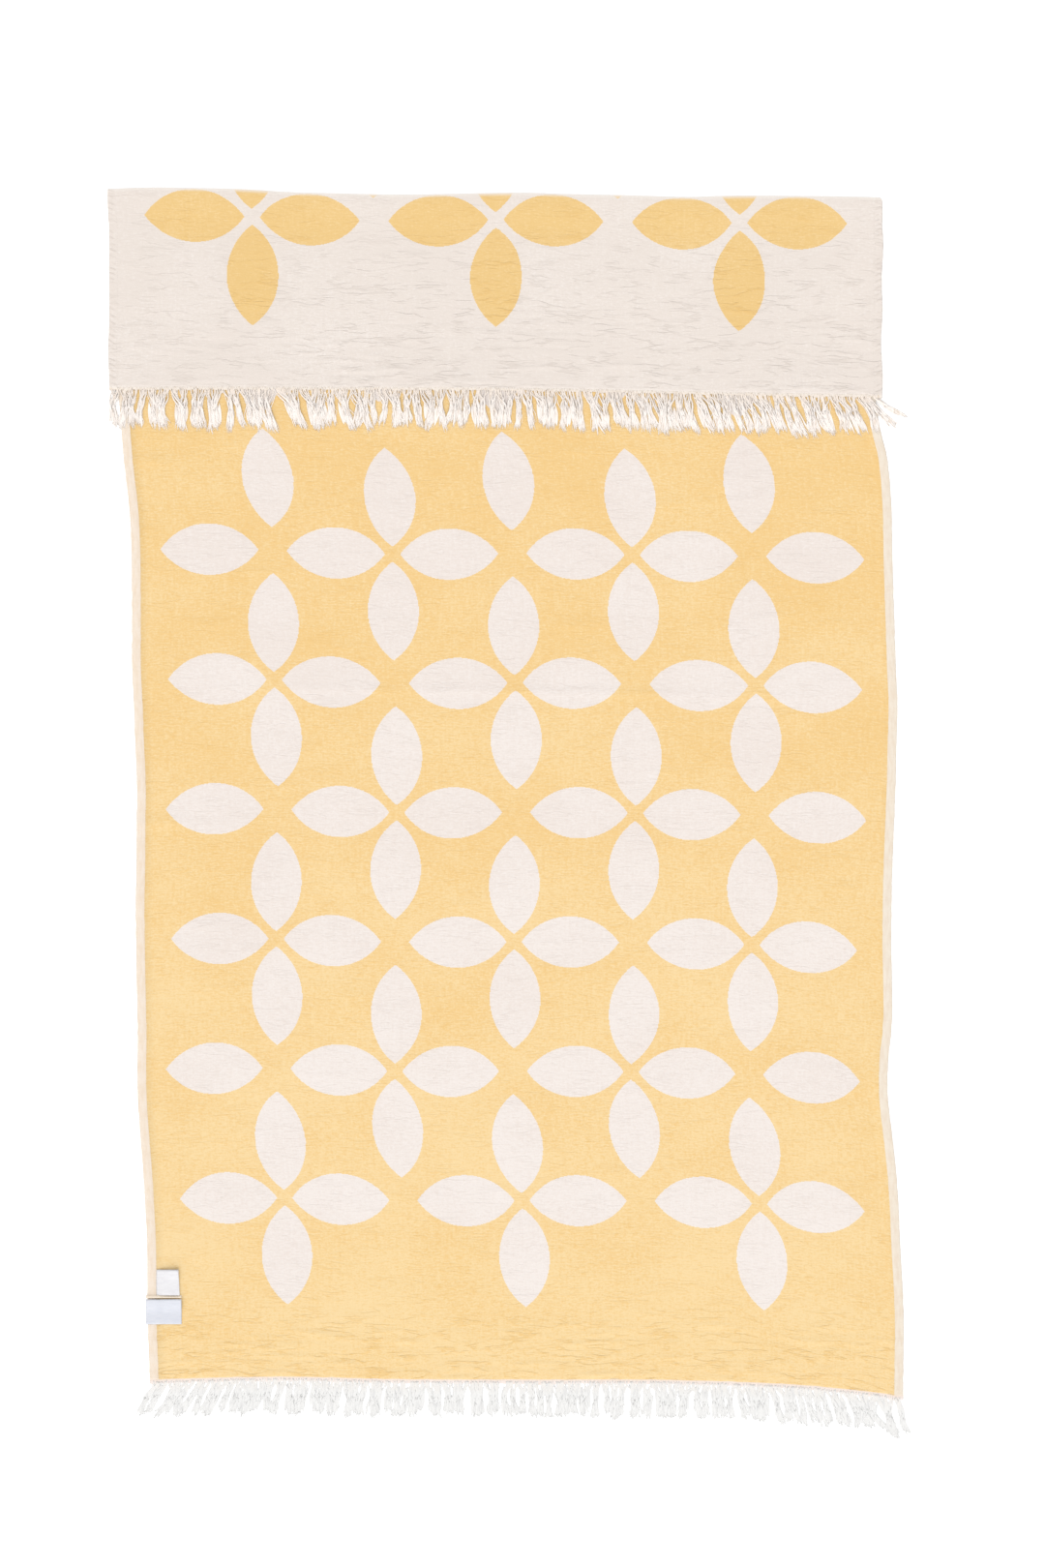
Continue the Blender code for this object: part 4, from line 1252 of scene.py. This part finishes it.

# ----------------------------------------------------------------------------------------------------
# THE TABLE, THE LIGHT AND THE CAMERA
# A flat white paper, a bright even sky of studio light with one broad lamp from the foot end, and the
# camera straight above.
# ----------------------------------------------------------------------------------------------------
PAPER_HALF = 6.0
PAPER_WHITE = 0.97
SKY = 1.10
LAMP = 0.45                 # share of the white's brightness that the lamp gives
LAMP_WIDE = math.radians(75)
LAMP_HEIGHT = math.radians(42)
LAMP_FROM = math.radians(255)       # from the foot, a little to the left
METRES_HIGH = 2.0493        # what the picture takes in
FILM_HIGH = 36.0
LENS = 85.0
CAMERA_OVER = Vector((0.01708, 0.03542))

bm = bmesh.new()
bmesh.ops.create_grid(bm, x_segments=1, y_segments=1, size=PAPER_HALF)
paper = bpy.data.meshes.new("paper")
bm.to_mesh(paper)
bm.free()
paper_look, tree, shader = start_look("white_paper", 0.9, 0.0)
shader.inputs["Base Color"].default_value = (PAPER_WHITE, PAPER_WHITE, PAPER_WHITE, 1.0)
floor = finished("paper", paper, paper_look)

world = bpy.data.worlds.new("studio")
bpy.context.scene.world = world
world.use_nodes = True
sky = world.node_tree.nodes["Background"]
sky.inputs["Color"].default_value = (1.0, 1.0, 1.0, 1.0)
sky.inputs["Strength"].default_value = SKY
sun = bpy.data.lights.new("broad_lamp", "SUN")
sun.energy = LAMP * math.pi / math.sin(LAMP_HEIGHT)
sun.angle = LAMP_WIDE
lamp = bpy.data.objects.new("broad_lamp", sun)
bpy.context.scene.collection.objects.link(lamp)
level = math.cos(LAMP_HEIGHT)
towards = Vector((level * math.cos(LAMP_FROM), level * math.sin(LAMP_FROM), math.sin(LAMP_HEIGHT)))
lamp.rotation_euler = towards.to_track_quat("Z", "Y").to_euler()

lens = bpy.data.cameras.new("camera")
lens.sensor_fit = "VERTICAL"
lens.sensor_height = FILM_HIGH
lens.lens = LENS
camera = bpy.data.objects.new("camera", lens)
camera.location = (shift.x + CAMERA_OVER.x, shift.y + CAMERA_OVER.y, METRES_HIGH * LENS / FILM_HIGH)
bpy.context.scene.collection.objects.link(camera)
bpy.context.scene.camera = camera
bpy.context.scene.view_settings.view_transform = "Standard"
bpy.context.scene.view_settings.look = "None"
